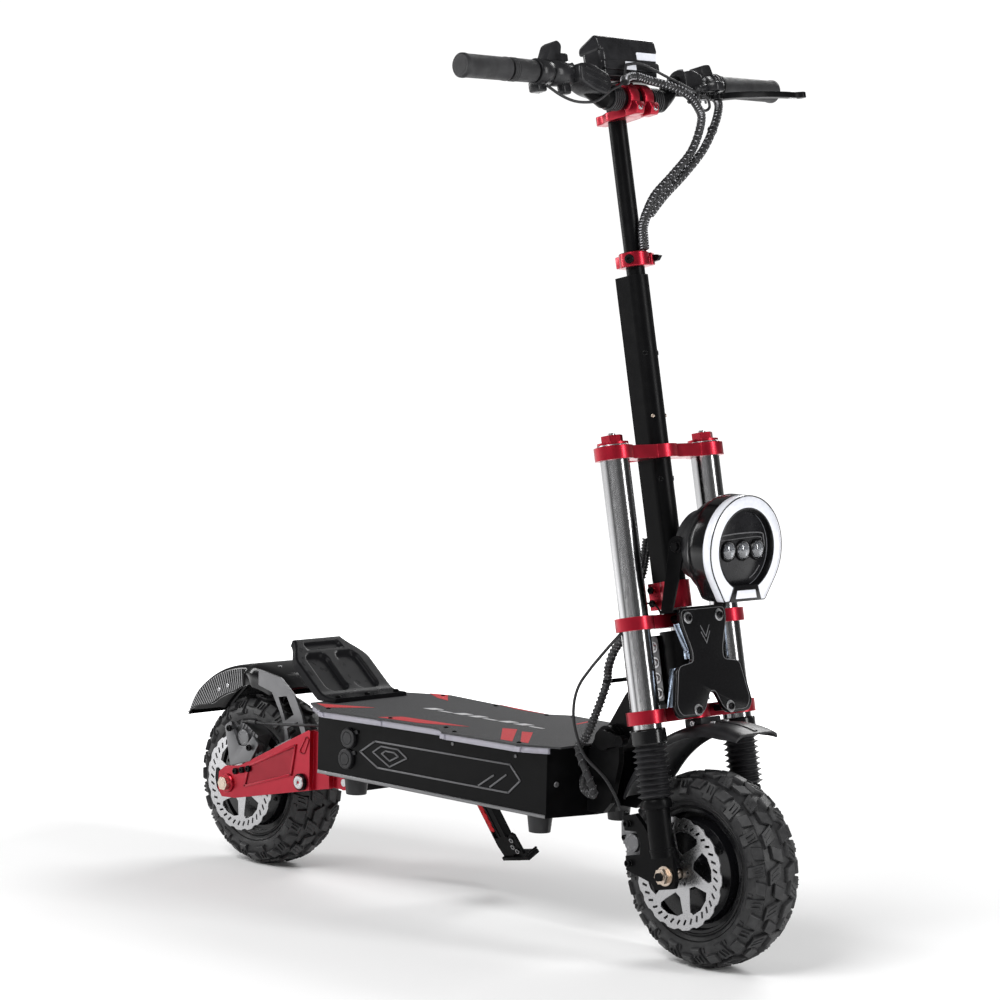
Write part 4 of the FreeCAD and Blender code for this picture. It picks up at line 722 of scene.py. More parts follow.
def fork_details():
    """Dust seals, leg collars, pinch bolts and cap rings of the fork."""
    seals = Shape()
    for side in (-1, 1):
        at = Matrix.Translation((0, side * TUBE_Y, 0))
        seals.add(lathe([(21.1, 184), (24.4, 184), (25.6, 186), (25.6, 204), (24.0, 206.4),
                         (21.1, 206.4)], 48, True),
                  0, at)
    seals.make("dust_seals", "fork_upper", "gloss_black", FORK, replaces=["fork_collars"], soft=30)
    legs = Shape()
    for side in (-1, 1):
        at = Matrix.Translation((0, side * TUBE_Y, 0))
        legs.add(lathe([(17.6, 94), (20.6, 94.5), (21.4, 96), (21.4, 105), (20.2, 107.5), (17.6, 108)],
                       48, True),
                 0, at)
        legs.add(lathe([(17.4, 33), (18.6, 34), (18.6, 38), (17.4, 39)], 48, True), 0, at)
    legs.make("leg_collars", "fork_lower", "black_metal", FORK, soft=30)
    pinch = Shape()
    for side in (-1, 1):
        for level in (222.5, 354.5, 596.5):
            place = (-23.5, side * (TUBE_Y + 5.5), level)
            pinch.add(bolt(3.6, 4.5), 0, aim(place, (-0.25, side, 0)))
    pinch.make("crown_pinch_bolts", "fork_upper", "plain_steel", FORK)
    caps = Shape()
    for side in (-1, 1):
        at = Matrix.Translation((0, side * TUBE_Y, 0))
        caps.add(lathe([(17, 606), (22.8, 606), (23.4, 607.2), (22.8, 608.4), (17, 608.4)], 48, True), 0,
                 at)
        caps.add(bolt(5.5, 4.0), 0, at @ Matrix.Translation((0, 0, 621.5)))
    caps.make("cap_washers", "fork_upper", "plain_steel", FORK)


boots()
fork_details()


# ---------------------------------------------------------------- deck

BOARD_TOP = (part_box("deck_board")[1].z + 0.00005) / MM
SHELL_LOW, SHELL_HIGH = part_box("deck_shell")
DECK_SIDE = SHELL_HIGH.y / MM
DECK_BOTTOM = SHELL_LOW.z / MM
DECK_REAR = (SHELL_LOW.x - REAR.x) / MM


def bar_between(start, end, width, low, high, plane="XZ"):
    """Flat bar of a given width along a line in a plane."""
    first = Vector(start)
    last = Vector(end)
    side = (last - first).normalized()
    side = Vector((-side.y, side.x)) * (width / 2)
    corners = [first - side, last - side, last + side, first + side]
    return prism([tuple(corner) for corner in corners], low, high, plane)


def strip_loop(shape, points, width, low, high, closed=True, plane="XZ"):
    """Raised strip along a line of corners, with round joints."""
    count = len(points)
    for index in range(count if closed else count - 1):
        shape.add(bar_between(points[index], points[(index + 1) % count], width, low, high, plane), 0.2)
    for point in points:
        dot = [(point[0] + width / 2 * math.cos(turn * math.pi / 6),
                point[1] + width / 2 * math.sin(turn * math.pi / 6)) for turn in range(12)]
        shape.add(prism(dot, low, high, plane))


HEXAGON = [(331, 235), (364, 255), (657, 258), (679, 237), (655, 216), (371, 215)]
DIAMONDS = [[(398, 220), (360, 238), (378, 249), (416, 249), (436, 238)],
            [(398, 229), (380, 238), (388, 243), (408, 243), (417, 238)]]
SLASHES = [((592, 218), (624, 238)), ((616, 219), (650, 242))]


def deck_sides():
    """Raised hexagon trim, a plain gem outline, slashes and a pale lower edge on both sides of the shell."""
    trim = Shape()
    edge = Shape()
    screws = Shape()
    for side in (-1, 1):
        low, high = sorted((side * (DECK_SIDE - 0.5), side * (DECK_SIDE + 1.3)))
        strip_loop(trim, HEXAGON, 2.6, low, high)
        for diamond in DIAMONDS:
            strip_loop(trim, diamond, 2.2, low, high)
        for start, end in SLASHES:
            trim.add(bar_between(start, end, 2.4, low, high), 0.2)
        rail = prism([(DECK_REAR + 0.5, DECK_BOTTOM - 0.4), (731, DECK_BOTTOM - 0.4),
                      (731, DECK_BOTTOM + 5),
                      (DECK_REAR + 0.5, DECK_BOTTOM + 5)], min(low, high), max(low, high), "XZ")
        edge.add(rail, 0.6)
        screws.bolts([(535, side * DECK_SIDE, 273), (668, side * DECK_SIDE, 272)], (0, side, 0), 2.6, 1.4)
        screws.bolts([(736, side * 89, 238), (750.5, side * 31, 243)], (0.97, side * 0.24, 0), 4.2, 2.2)
    trim.make("deck_side_trim", "deck", "trim_grey", CHASSIS)
    edge.make("deck_lower_rails", "deck", "dark_steel", CHASSIS)
    screws.make("deck_shell_screws", "deck", "dark_steel", CHASSIS)
    seam = Shape()
    for side in (-1, 1):
        seam.add(box((748.6, side * 18.0 - 1, DECK_BOTTOM + 2), (3.5, 2, 84)), 0.4)
    seam.make("nose_seams", "deck", "gloss_black", CHASSIS)


SHARDS = [
    [(221, -99), (262, -116), (308, -56)],
    [(385, -119), (404, -86), (536, -73), (464, -108)],
    [(651, -120), (676, -121), (598, -33), (577, -43)],
    [(686, -114), (701, -113), (634, -36), (618, -43)],
    [(241, 124), (271, 136), (318, 91), (284, 100)],
    [(391, 128), (451, 114), (520, 113)],
    [(612, 78), (616, 78), (606, 128), (602, 128)],
]


def board_graphics():
    """Red shards and plain pale dashes printed on the grip sheet, and black screws through it."""
    red = Shape()
    for corners in SHARDS:
        red.add(prism(corners, BOARD_TOP - 0.1, BOARD_TOP + 0.25))
    red.make("board_red_shards", "deck", "red_tape", CHASSIS)
    pale = Shape()
    for index in range(8):
        start = 356 + index * 33
        corners = [(start, 2), (start + 20, 2), (start + 30, 18), (start + 10, 18)]
        if index % 3 == 1:
            corners = [(start, 2), (start + 26, 2), (start + 29, 7), (start + 3, 7)]
        pale.add(prism(corners, BOARD_TOP - 0.1, BOARD_TOP + 0.25))
    pale.make("board_pale_dashes", "deck", "pale_tape", CHASSIS)
    screws = Shape()
    for x, y in ((274, 122), (405, 112), (522, 107), (560, 126), (690, 121)):
        for side in (-1, 1):
            screws.add(bolt(3.6, 1.8), 0, Matrix.Translation((x, side * y, BOARD_TOP - 0.2)))
    screws.make("board_screws", "deck", "black_metal", CHASSIS)


STRIP_LINE = [(210, 99), (274, 137), (393, 124), (516, 115), (545, 136), (697, 130), (738, 109)]


def light_strip_details():
    """Lamps inside the clear side strips, and the joints between their lengths."""
    joints = Shape()
    lamps = Shape()
    for side in (-1, 1):
        for index, (x, y) in enumerate(STRIP_LINE[1:-1]):
            joints.add(box((x - 5, side * y - 3 + side * -1.2, 284.6), (10, 6, 7.6)), 1.0)
        for (x0, y0), (x1, y1) in zip(STRIP_LINE, STRIP_LINE[1:]):
            count = max(1, int(math.hypot(x1 - x0, y1 - y0) / 16))
            for index in range(count):
                share = (index + 0.5) / count
                place = (x0 + (x1 - x0) * share, side * (y0 + (y1 - y0) * share - 2.4), 288.5)
                along = Vector((x1 - x0, side * (y1 - y0), 0)).normalized()
                chip = box((-2.5, -0.6, -2), (5, 5, 4))
                turn = Matrix.Rotation(math.atan2(along.y, along.x), 4, "Z")
                lamps.add(chip, 0.4, Matrix.Translation(place) @ turn)
    joints.make("light_strip_joints", "deck", "clear_strip", CHASSIS)
    lamps.make("light_strip_lamps", "deck", "white_ring", CHASSIS)


def smooth_step(value, low, high):
    """Smooth rise from 0 to 1 between two values."""
    share = min(1.0, max(0.0, (value - low) / (high - low)))
    return share * share * (3 - 2 * share)


def pocket_depth(across, along, centre, half_width, start, end, corner, depth):
    """Depth of a rounded pocket at a point."""
    middle = (start + end) / 2
    out_x = abs(across - centre) - half_width + corner
    out_y = abs(along - middle) - (end - start) / 2 + corner
    outside = math.hypot(max(out_x, 0), max(out_y, 0)) + min(max(out_x, out_y), 0) - corner
    return depth * (1 - smooth_step(outside, -3.6, 0.4))


def footrest():
    """Upswept rear footrest: a bent cast plate with two long pockets and a slot near the top."""
    line = smooth_path([(238, 0, 303), (220, 0, 303.4), (205, 0, 307), (189, 0, 318), (150, 0, 349),
                        (112, 0, 377),
                        (104, 0, 381)], 16)
    lengths = [0.0]
    for first, second in zip(line, line[1:]):
        lengths.append(lengths[-1] + (second - first).length)
    total = lengths[-1]
    frames = path_frames(line)
    columns = 120
    solid = bmesh.new()
    top = []
    bottom = []
    for (point, ahead, _, _), along in zip(frames, lengths):
        normal = Vector((ahead.z, 0, -ahead.x))
        if normal.x < 0:
            normal = -normal
        if normal.z < 0:
            normal = -normal
        half = 76 - 26 * smooth_step(along, total * 0.66, total)
        upper = []
        lower = []
        for column in range(columns + 1):
            across = -half + 2 * half * column / columns
            drop = 0.0
            for centre in (-32, 32):
                drop = max(drop,
                           pocket_depth(across, along, centre, 24, total * 0.24, total * 0.76, 15, 6.5))
            drop = max(drop, pocket_depth(across, along, 0, 38, total * 0.83, total * 0.93, 5, 4.5))
            edge = min(half - abs(across), total - along)
            drop += 1.6 * (1 - smooth_step(edge, 0, 3.0))
            upper.append(solid.verts.new(point + Vector((0, across, 0)) - normal * drop))
            depth = min(13.0, (point.z - 296.2) / max(0.15, normal.z))
            lower.append(solid.verts.new(point + Vector((0, across, 0)) - normal * depth))
        top.append(upper)
        bottom.append(lower)
    for row in range(len(top) - 1):
        for column in range(columns):
            solid.faces.new((top[row][column], top[row][column + 1], top[row + 1][column + 1],
                             top[row + 1][column]))
            solid.faces.new((bottom[row][column], bottom[row + 1][column], bottom[row + 1][column + 1],
                             bottom[row][column + 1]))
        for column in (0, columns):
            solid.faces.new((top[row][column], top[row + 1][column], bottom[row + 1][column],
                             bottom[row][column]))
    for row in (0, len(top) - 1):
        for column in range(columns):
            solid.faces.new((top[row][column], top[row][column + 1], bottom[row][column + 1],
                             bottom[row][column]))
    shape = Shape()
    shape.add(solid)
    shape.make("footrest_casting", "deck", "footrest_paint", CHASSIS, replaces=["rear_footrest"],
               soft=50)
    screws = Shape()
    for y in (-62, 0, 62):
        screws.add(bolt(4.5, 3.5), 0, Matrix.Translation((228, y, 303)))
    screws.make("footrest_screws", "deck", "black_metal", CHASSIS)


def charge_port_caps():
    """Hinged rubber caps that close the two charge sockets."""
    shape = Shape()
    for node_x, node_z in PORTS:
        at = aim((node_x, -DECK_SIDE - 3.0, node_z), (0, -1, 0))
        shape.add(lathe([(14.6, 0), (15.4, 0.6), (15.4, 2.2), (14.0, 3.2), (10.5, 3.2), (10.0, 2.4),
                         (9.2, 2.4),
                         (8.8, 3.4), (0.4, 3.4)], 40), 0, at)
        shape.add(bar_between((node_x + 11, node_z + 9), (node_x + 20, node_z + 12), 6, -DECK_SIDE - 2.6,
                              -DECK_SIDE - 0.2),
                  0.8)
    shape.make("charge_port_caps", "deck", "black_rubber", CHASSIS)


PORT_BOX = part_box("charge_ports")
PORT_RIM = 16.0
PORTS = [((PORT_BOX[1].x - REAR.x) / MM - PORT_RIM, PORT_BOX[1].z / MM - PORT_RIM),
         ((PORT_BOX[0].x - REAR.x) / MM + PORT_RIM, PORT_BOX[0].z / MM + PORT_RIM)]

deck_sides()
board_graphics()
light_strip_details()
footrest()
charge_port_caps()


# ---------------------------------------------------------------- headlight

FACE_RADIUS = 76.0
FLAT = 73.0
FLAT_HALF = 43.0
OPENING = 57.0
LENS_SPACING = 30.5
PIVOT_BACK = -80


def lamp_reach(turn):
    """Radius of the lamp's outline at an angle: round, with straight flanks down to a flat foot."""
    away = abs((turn + math.pi / 2 + math.pi) % (2 * math.pi) - math.pi)
    corner = math.atan2(FLAT_HALF, FLAT)
    touch = corner + math.acos(FACE_RADIUS / math.hypot(FLAT_HALF, FLAT))
    if away < corner:
        return FLAT / math.cos(away)
    if away < touch:
        return FACE_RADIUS / math.cos(touch - away)
    return FACE_RADIUS


def lamp_ring(section, sides=144):
    """Ring round the lamp; the section is (share of outline, extra radius, depth) points."""
    solid = bmesh.new()
    rings = []
    for step in range(sides):
        turn = 2 * math.pi * step / sides
        ring = []
        for share, extra, depth in section:
            reach = FACE_RADIUS * (1 - share) + lamp_reach(turn) * share + extra
            ring.append(solid.verts.new((depth, reach * math.cos(turn), reach * math.sin(turn))))
        rings.append(ring)
    count = len(section)
    for step in range(sides):
        first = rings[step]
        second = rings[(step + 1) % sides]
        for here in range(count):
            there = (here + 1) % count
            solid.faces.new((first[here], second[here], second[there], first[there]))
    return solid


def headlight():
    """Light ring, bezel, dark face with three projector lenses, back shell and foot."""
    inner = OPENING - FACE_RADIUS
    ring = Shape()
    ring.add(lamp_ring([(1, -2.4, -0.2), (1, -0.9, -1.6), (1, -0.4, -15), (1, -2.5, -17), (0, inner, -17),
                        (0, inner, -2), (0, inner + 1.2, -0.2)]))
    ring.make("headlight_light_ring", "headlight", "white_ring", LAMP, replaces=["headlight_ring"], soft=50)
    rim = Shape()
    rim.add(lamp_ring([(1, -1.7, -0.4), (1, -1.0, 0.3), (1, -0.1, -0.3), (1, 0.0, -1.2), (1, -0.6, -1.4)]))
    rim.add(lamp_ring([(1, -2.6, -15.4), (1, -0.1, -15.4), (1, -0.1, -34), (1, -2.4, -44), (0, -6, -50),
                       (0, -12, -50), (1, -5, -30)]))
    rim.add(lamp_ring([(0, inner + 1.6, -0.1), (0, inner + 0.8, 0.5), (0, inner - 0.6, 0.2),
                       (0, inner - 3.4, -8.6),
                       (0, inner - 1.0, -8.8)]))
    rim.make("headlight_rims", "headlight", "gloss_black", LAMP, soft=40)
    shell = Shape()
    back = Matrix.Rotation(-math.pi / 2, 4, "Y")
    shell.add(lathe([(53.4, 14.2), (56.2, 14.2), (56.2, 30), (66, 40), (71.5, 45), (70.6, 50), (67, 57),
                     (61.5, 65),
                     (56, 73), (52, 81), (49.6, 89), (45, 94.6), (34, 96), (0.5, 96)], 96), 0, back)
    for side in (-1, 1):
        shell.add(lathe([(5, 0), (5, 8.6), (4.4, 9.2)], 24), 0, aim((PIVOT_BACK, side * 47, 0), (0, side, 0)))
    shell.make("headlight_back_shell", "headlight", "black_plastic", LAMP, replaces=["headlight_housing"],
               soft=40)
    face = Shape()
    face.add(lathe([(0.5, 9.2), (52.6, 9.2), (53.6, 9.8), (53.6, 14)], 96), 0, back)
    face.make("headlight_face", "headlight", "lamp_face", LAMP)
    trims = Shape()
    for index in (-1, 0, 1):
        at = aim((-9.2, index * LENS_SPACING, -2), (1, 0, 0))
        trims.add(lathe([(15.0, 0), (15.0, 4.0, 8), (14.2, 4.8, 8), (13.1, 1.2), (13.1, 0)], 48, True), 0,
                  at)
    brows = Shape()
    brow = [(-9.0, -50, 2), (-8.6, -47, 19), (-8.6, 33, 22), (-8.6, 45, 12), (-8.8, 47, -4),
            (-8.8, 43, -12)]
    brows.add(tube(smooth_path(brow, 8), 1.1, 8))
    brow_inner = [(-9.0, -45, 13), (-8.6, 33, 16), (-8.8, 40, 8)]
    brows.add(tube(smooth_path(brow_inner, 8), 0.7, 8))
    arc = [(-8.9, 45 * math.sin(math.radians(turn)),
            -45 * math.cos(math.radians(turn))) for turn in range(22, 62, 5)]
    brows.add(tube(smooth_path(arc, 4), 0.8, 8))
    brows.make("headlight_brows", "headlight", "trim_grey", LAMP, soft=40)
    trims.make("headlight_inner_trims", "headlight", "gloss_black", LAMP, soft=40)
    # The reflector bowls take the chrome finish, whose banded tone is a painted reflection.
    bowls = Shape()
    for index in (-1, 0, 1):
        at = aim((-9.0, index * LENS_SPACING, -2), (1, 0, 0))
        bowls.add(lathe([(12.9, 0.2), (12.9, 3.0), (11.4, 1.6), (7.6, 0.5)], 48), 0, at)
    bowls.make("headlight_reflectors", "headlight", "chrome_tube", LAMP, soft=40)
    lenses = Shape()
    for index in (-1, 0, 1):
        dome = [(12.2 * math.cos(lean), 1.0 + 7.2 * math.sin(lean)) for lean in
                [math.radians(value) for value in range(0, 90, 9)]]
        lenses.add(lathe([(12.2, 0)] + dome, 48), 0, aim((-8.6, index * LENS_SPACING, -2), (1, 0, 0)))
    lenses.make("headlight_projectors", "headlight", "lens_glass", LAMP, replaces=["headlight_lenses"],
                soft=60)
    foot = Shape()
    foot.add(prism([(-25, -50), (25, -50), (34, -72.6), (-34, -72.6)], -9, 1.2, "YZ"), 0.8)
    foot.make("headlight_foot", "headlight", "gloss_black", LAMP)
    bar = Shape()
    bar.add(prism([(-19, -57), (19, -57), (22, -68.5), (-22, -68.5)], 0.8, 2.2, "YZ"), 0.5)
    bar.make("headlight_foot_bar", "headlight", "white_ring", LAMP)
    screws = Shape()
    for side in (-1, 1):
        screws.add(lathe([(9, 0), (9, 1.4), (8.4, 1.8), (0.5, 1.8)], 32), 0,
                   aim((PIVOT_BACK, side * 57.6, 0), (0, side, 0)))
        screws.add(lathe([(7.2, 0, 6), (7.2, 4.2, 6), (6.0, 5.0), (0.5, 5.0)], 36), 0,
                   aim((PIVOT_BACK, side * 59.2, 0), (0, side, 0)))
    screws.make("headlight_pivot_screws", "headlight", "black_metal", LAMP)


headlight()


# ---------------------------------------------------------------- badge plate and neck

BADGE_HALF = [(49, 370), (49, 350), (34, 309), (34, 292), (69, 287), (83, 229), (74, 215), (30, 215),
              (20, 222),
              (6, 247)]


def rounded(points, reach, steps=4):
    """Outline with its corners cut as short curves."""
    made = []
    count = len(points)
    for index in range(count):
        corner = Vector(points[index])
        before = Vector(points[index - 1]) - corner
        after = Vector(points[(index + 1) % count]) - corner
        size = min(reach, before.length * 0.45, after.length * 0.45)
        start = corner + before.normalized() * size
        end = corner + after.normalized() * size
        for step in range(steps + 1):
            share = step / steps
            point = start * (1 - share) ** 2 + corner * (2 * share * (1 - share)) + end * share ** 2
            made.append(tuple(point))
    return made


def badge():
    """X-shaped cover plate with rounded corners, rolled edges and four ringed bolts."""
    outline = rounded(BADGE_HALF + [(-y, z) for y, z in reversed(BADGE_HALF)], 9)
    plate_shape = Shape()
    plate_shape.add(prism(outline, 38, 44.4, "YZ"), 1.2, steps=3)
    plate_shape.make("badge_cover", "fork_upper", "gloss_black", FORK, replaces=["badge_plate"])
    edge = Shape()
    for side in (-1, 1):
        upper = [(side * 48, 349), (side * 33.5, 309), (side * 33.5, 297)]
        lower = [(side * 66, 286), (side * 81.5, 232)]
        for line, width in ((upper, 3.4), (lower, 3.4)):
            for start, end in zip(line, line[1:]):
                edge.add(bar_between(start, end, width, 30, 40, "YZ"), 0.8)
    edge.make("badge_side_flanges", "fork_upper", "blued_steel", FORK)
    relief = Shape()
    inner = rounded([(y * 0.93, 292 + (z - 292) * 0.95) for y, z in
                     BADGE_HALF + [(-y, z) for y, z in reversed(BADGE_HALF)]], 8)
    strip_loop(relief, inner, 1.0, 44.0, 45.0, plane="YZ")
    for rise in (0, 9):
        strip_loop(relief, [(-9, 342 - rise), (0, 326 - rise), (9, 342 - rise)], 1.4, 44.2, 45.2,
                   closed=False,
                   plane="YZ")
    relief.make("badge_relief", "fork_upper", "trim_grey", FORK)
    screws = Shape()
    rings = Shape()
    for y, z in ((33, 355), (34, 224)):
        for side in (-1, 1):
            rings.add(lathe([(4.4, 0), (8.6, 0), (8.6, 1.0), (7.8, 1.6), (4.4, 1.6)], 32, closed=True), 0,
                      aim((44.2, side * y, z), (1, 0, 0)))
            screws.add(bolt(5.2, 4.4), 0, aim((44.2, side * y, z), (1, 0, 0)))
    rings.make("badge_washers", "fork_upper", "plain_steel", FORK)
    screws.make("badge_screws", "fork_upper", "gloss_black", FORK)
    links = Shape()
    for y, z in ((33, 355), (34, 224)):
        for side in (-1, 1):
            links.add(lathe([(5, 0), (5, 22.2)], 24), 0, aim((16.2, side * y, z), (1, 0, 0)))
    links.make("badge_spacers", "fork_upper", "black_metal", FORK)
    holes = Shape()
    for side in (-1, 1):
        holes.add(prism(rounded([(-37, 243), (-19, 243), (-19, 334), (-37, 334)], 5), side * 30.6,
                        side * 32.6, "XZ"), 0.5)
    holes.make("neck_side_plates", "neck", "cast_alloy", FORK)
    pins = Shape()
    for side in (-1, 1):
        for z in (254, 276, 298, 320):
            pins.add(bolt(5.2, 4.6), 0, aim((-27.5, side * 32.4, z), (0, side, 0)))
            pins.add(lathe([(5.2, 0), (8.0, 0), (8.0, 1.8), (5.2, 1.8)], 24, closed=True), 0,
                     aim((-27.5, side * 32.4, z), (0, side, 0)))
    pins.make("neck_plate_bolts", "neck", "plain_steel", FORK)


badge()


# ---------------------------------------------------------------- handlebar

BAR_TOP = 1104.0
GRIP_HIGH = 1136.0
GRIP_AHEAD = 21.0
GRIP_LINE = Matrix.Translation((GRIP_AHEAD, 0, GRIP_HIGH)) @ Matrix.Rotation(-math.pi / 2, 4, "X")


def along_grip(profile, sides=48, closed=False):
    """Turned part on the grip line; heights run along the rider's left."""
    return GRIP_LINE.copy(), lathe(profile, sides, closed)


def grips():
    """Smooth rubber grips: right one 86 mm with a throttle ring, left one longer, both with flanged ends."""
    shape = Shape()
    right = [(11, -328), (15.5, -328), (17.3, -326), (17.5, -322), (16.6, -316), (16.3, -250), (16.9, -243),
             (16.9, -240), (11, -240)]
    left = [(11, 202), (17.2, 202), (17.2, 206), (16.2, 210), (16.3, 316), (17.4, 322), (17.3, 326),
            (15.5, 328),
            (11, 328)]
    for profile in (right[::-1], left[::-1]):
        place, solid = along_grip(profile)
        shape.add(solid, 0, place)
    for side in (-1, 1):
        shape.add(lathe([(12, 0), (12, 0.8), (0.5, 0.8)], 32), 0,
                  aim((GRIP_AHEAD, side * 327.4, GRIP_HIGH), (0, side, 0)))
    shape.make("grip_sleeves", "bars", "grip_rubber", FORK, replaces=["grips"],
               soft=45)
    throttle = Shape()
    profile = [(11.1, -235.4), (16.2, -235.4), (16.5, -234), (16.1, -190), (15.4, -187), (11.1, -187)]
    place, solid = along_grip(profile[::-1])
    throttle.add(solid, 0, place)
    for index in range(3):
        place, solid = along_grip([(15.6, -233 + index * 3.4), (16.9, -232.4 + index * 3.4),
                                   (16.9, -231 + index * 3.4), (15.6, -230.4 + index * 3.4)][::-1])
        throttle.add(solid, 0, place)
    throttle.make("throttle_sleeve", "throttle", "grip_rubber", FORK, replaces=["twist_throttle"],
                  soft=45)


def pod(shape, start, end, radius, ridges=0):
    """Rounded clamp-on housing round the bar, with optional ridges."""
    profile = [(11, start), (radius - 1.6, start), (radius, start + 1.6), (radius, end - 1.6),
               (radius - 1.6, end),
               (11, end)]
    place, solid = along_grip(profile[::-1])
    shape.add(solid, 0, place)
    for index in range(ridges):
        at = start + (index + 0.5) * (end - start) / ridges
        place, solid = along_grip([(radius - 0.4, at - 0.9), (radius + 0.9, at - 0.5),
                                   (radius + 0.9, at + 0.5),
                                   (radius - 0.4, at + 0.9)][::-1])
        shape.add(solid, 0, place)


def controls():
    """Throttle and switch housings, brake perch with its adjuster, levers' bolts and buttons' bezels."""
    shape = Shape()
    pod(shape, -184, -158, 18.6)
    shape.add(box((GRIP_AHEAD - 19, -181, GRIP_HIGH - 27), (19, 20, 16)), 3.0)
    pod(shape, -157, -117, 19.0)
    top = prism(rounded([(GRIP_AHEAD - 17, -153), (GRIP_AHEAD + 9, -153), (GRIP_AHEAD + 9, -119),
                         (GRIP_AHEAD - 17, -119)], 6), GRIP_HIGH + 8, GRIP_HIGH + 28)
    for y in (-144, -132):
        place = Matrix.Translation((GRIP_AHEAD - 9, y, GRIP_HIGH + 27.8))
        shape.add(lathe([(3.8, 0), (5.2, 0), (5.2, 3.0), (4.6, 3.6), (3.8, 3.6)], 24, True), 0, place)
    shape.add(top, 2.0, steps=3)
    shape.add(box((GRIP_AHEAD - 4, -140, GRIP_HIGH - 31), (14, 18, 16)), 4.0, steps=3)
    pod(shape, 178, 198, 18.2, 3)
    pod(shape, 150, 176, 17.4)
    arm = prism(rounded([(GRIP_AHEAD + 6, 148), (GRIP_AHEAD + 30, 148), (GRIP_AHEAD + 41, 154),
                         (GRIP_AHEAD + 41, 172), (GRIP_AHEAD + 30, 176), (GRIP_AHEAD + 6, 176)], 5),
                GRIP_HIGH - 16, GRIP_HIGH - 3)
    shape.add(arm, 1.6)
    shape.add(lathe([(5.6, 0), (6.2, 1), (6.2, 14), (4.8, 15), (4.8, 22), (3.2, 24)], 20), 0,
              aim((GRIP_AHEAD + 24, 148, GRIP_HIGH - 10), (-0.1, -1, -0.12)))
    pod(shape, 112, 148, 19.0)
    shape.add(prism(rounded([(GRIP_AHEAD - 15, 116), (GRIP_AHEAD + 8, 116), (GRIP_AHEAD + 8, 144),
                             (GRIP_AHEAD - 15, 144)], 5), GRIP_HIGH + 8, GRIP_HIGH + 17), 2.0, steps=3)
    shape.add(prism(rounded([(-120, 1122), (-118, 1147), (-94, 1149), (-58, 1134), (-54, 1116), (-66, 1103),
                             (-92, 1108)], 7, 4), 10, 48, "YZ"), 4.0, steps=3)
    shape.add(prism(rounded([(-166, 1150), (-152, 1176), (-140, 1182), (-132, 1176), (-138, 1152)], 4, 3),
                    8, 30,
                    "YZ"), 3.0, steps=3)
    for z in (1120, 1130, 1140):
        shape.add(prism(rounded([(-108, z), (-66, z - 12), (-66, z - 9), (-108, z + 3)], 1), 46, 49.6,
                        "YZ"), 0.6)
    shape.add(prism(rounded([(158, 1150), (162, 1164), (178, 1166), (184, 1150)], 4, 3), 4, 32, "YZ"),
              3.0, steps=3)
    shape.add(prism(rounded([(108, 1124), (110, 1150), (128, 1152), (146, 1146), (150, 1120)], 6, 3), 4,
                    42, "YZ"), 4.0,
              steps=3)
    shape.make("control_pods", "bars", "control_black", FORK, replaces=["control_housings"],
               soft=45)
    bolts = Shape()
    for y in (-176, -162, 182, 194):
        bolts.add(bolt(2.6, 1.6), 0, aim((GRIP_AHEAD - 19, y, GRIP_HIGH - 19), (-1, 0, 0)))
    for y in (154, 170):
        bolts.add(bolt(3.0, 2.0), 0, aim((GRIP_AHEAD + 17.2, y, GRIP_HIGH + 4), (1, 0, 0)))
    bolts.add(bolt(4.6, 2.2), 0, Matrix.Translation((GRIP_AHEAD + 30, 162, GRIP_HIGH - 3.2)))
    bolts.make("control_bolts", "bars", "plain_steel", FORK)
    clips = Shape()
    for side in (-1, 1):
        for index in range(5):
            y = side * (33 + index * 4.2)
            ring = lathe([(15.9, -1.5), (18.4, -1.0), (18.4, 1.0), (15.9, 1.5)], 40, True)
            clips.add(ring, 0, aim((30, y, BAR_TOP), (0, 1, 0)))
    clips.make("bar_rubber_rings", "bars", "black_rubber", FORK, soft=45)


def lever():
    """Two-finger brake lever: a rounded blade with a curled tip, on its pivot eye."""
    outline = [(0, 2), (12, 10), (25, 34), (36, 70), (43, 108), (44, 130), (51, 140), (50, 147), (41, 147),
               (35, 137), (33, 112), (26, 75), (15, 44), (1, 24), (-7, 13), (-7, 5)]
    pivot = Vector((GRIP_AHEAD + 30, 162))
    points = rounded([(pivot.x + x, pivot.y + y) for x, y in outline], 6, 3)
    shape = Shape()
    shape.add(prism(points, GRIP_HIGH - 28, GRIP_HIGH - 19.4), 2.6, steps=3)
    shape.add(lathe([(4, 0), (8.8, 0), (8.8, 5.6), (4, 5.6)], 32, True), 0,
              Matrix.Translation((pivot.x, pivot.y, GRIP_HIGH - 28)))
    shape.make("brake_lever_blade", "lever", "black_metal", FORK, replaces=["brake_lever"], soft=40)
    tip = Shape()
    tip.add(prism(rounded([(pivot.x + 37, pivot.y + 118), (pivot.x + 41, pivot.y + 118),
                           (pivot.x + 43, pivot.y + 134), (pivot.x + 38, pivot.y + 134)], 1.6),
                  GRIP_HIGH - 28.4, GRIP_HIGH - 18.9), 0.4)
    tip.make("brake_lever_slot", "lever", "plain_steel", FORK)


SCREEN_RISE = Vector((32, 0, 14)).normalized()
SCREEN_OUT = Vector((-SCREEN_RISE.z, 0, SCREEN_RISE.x))


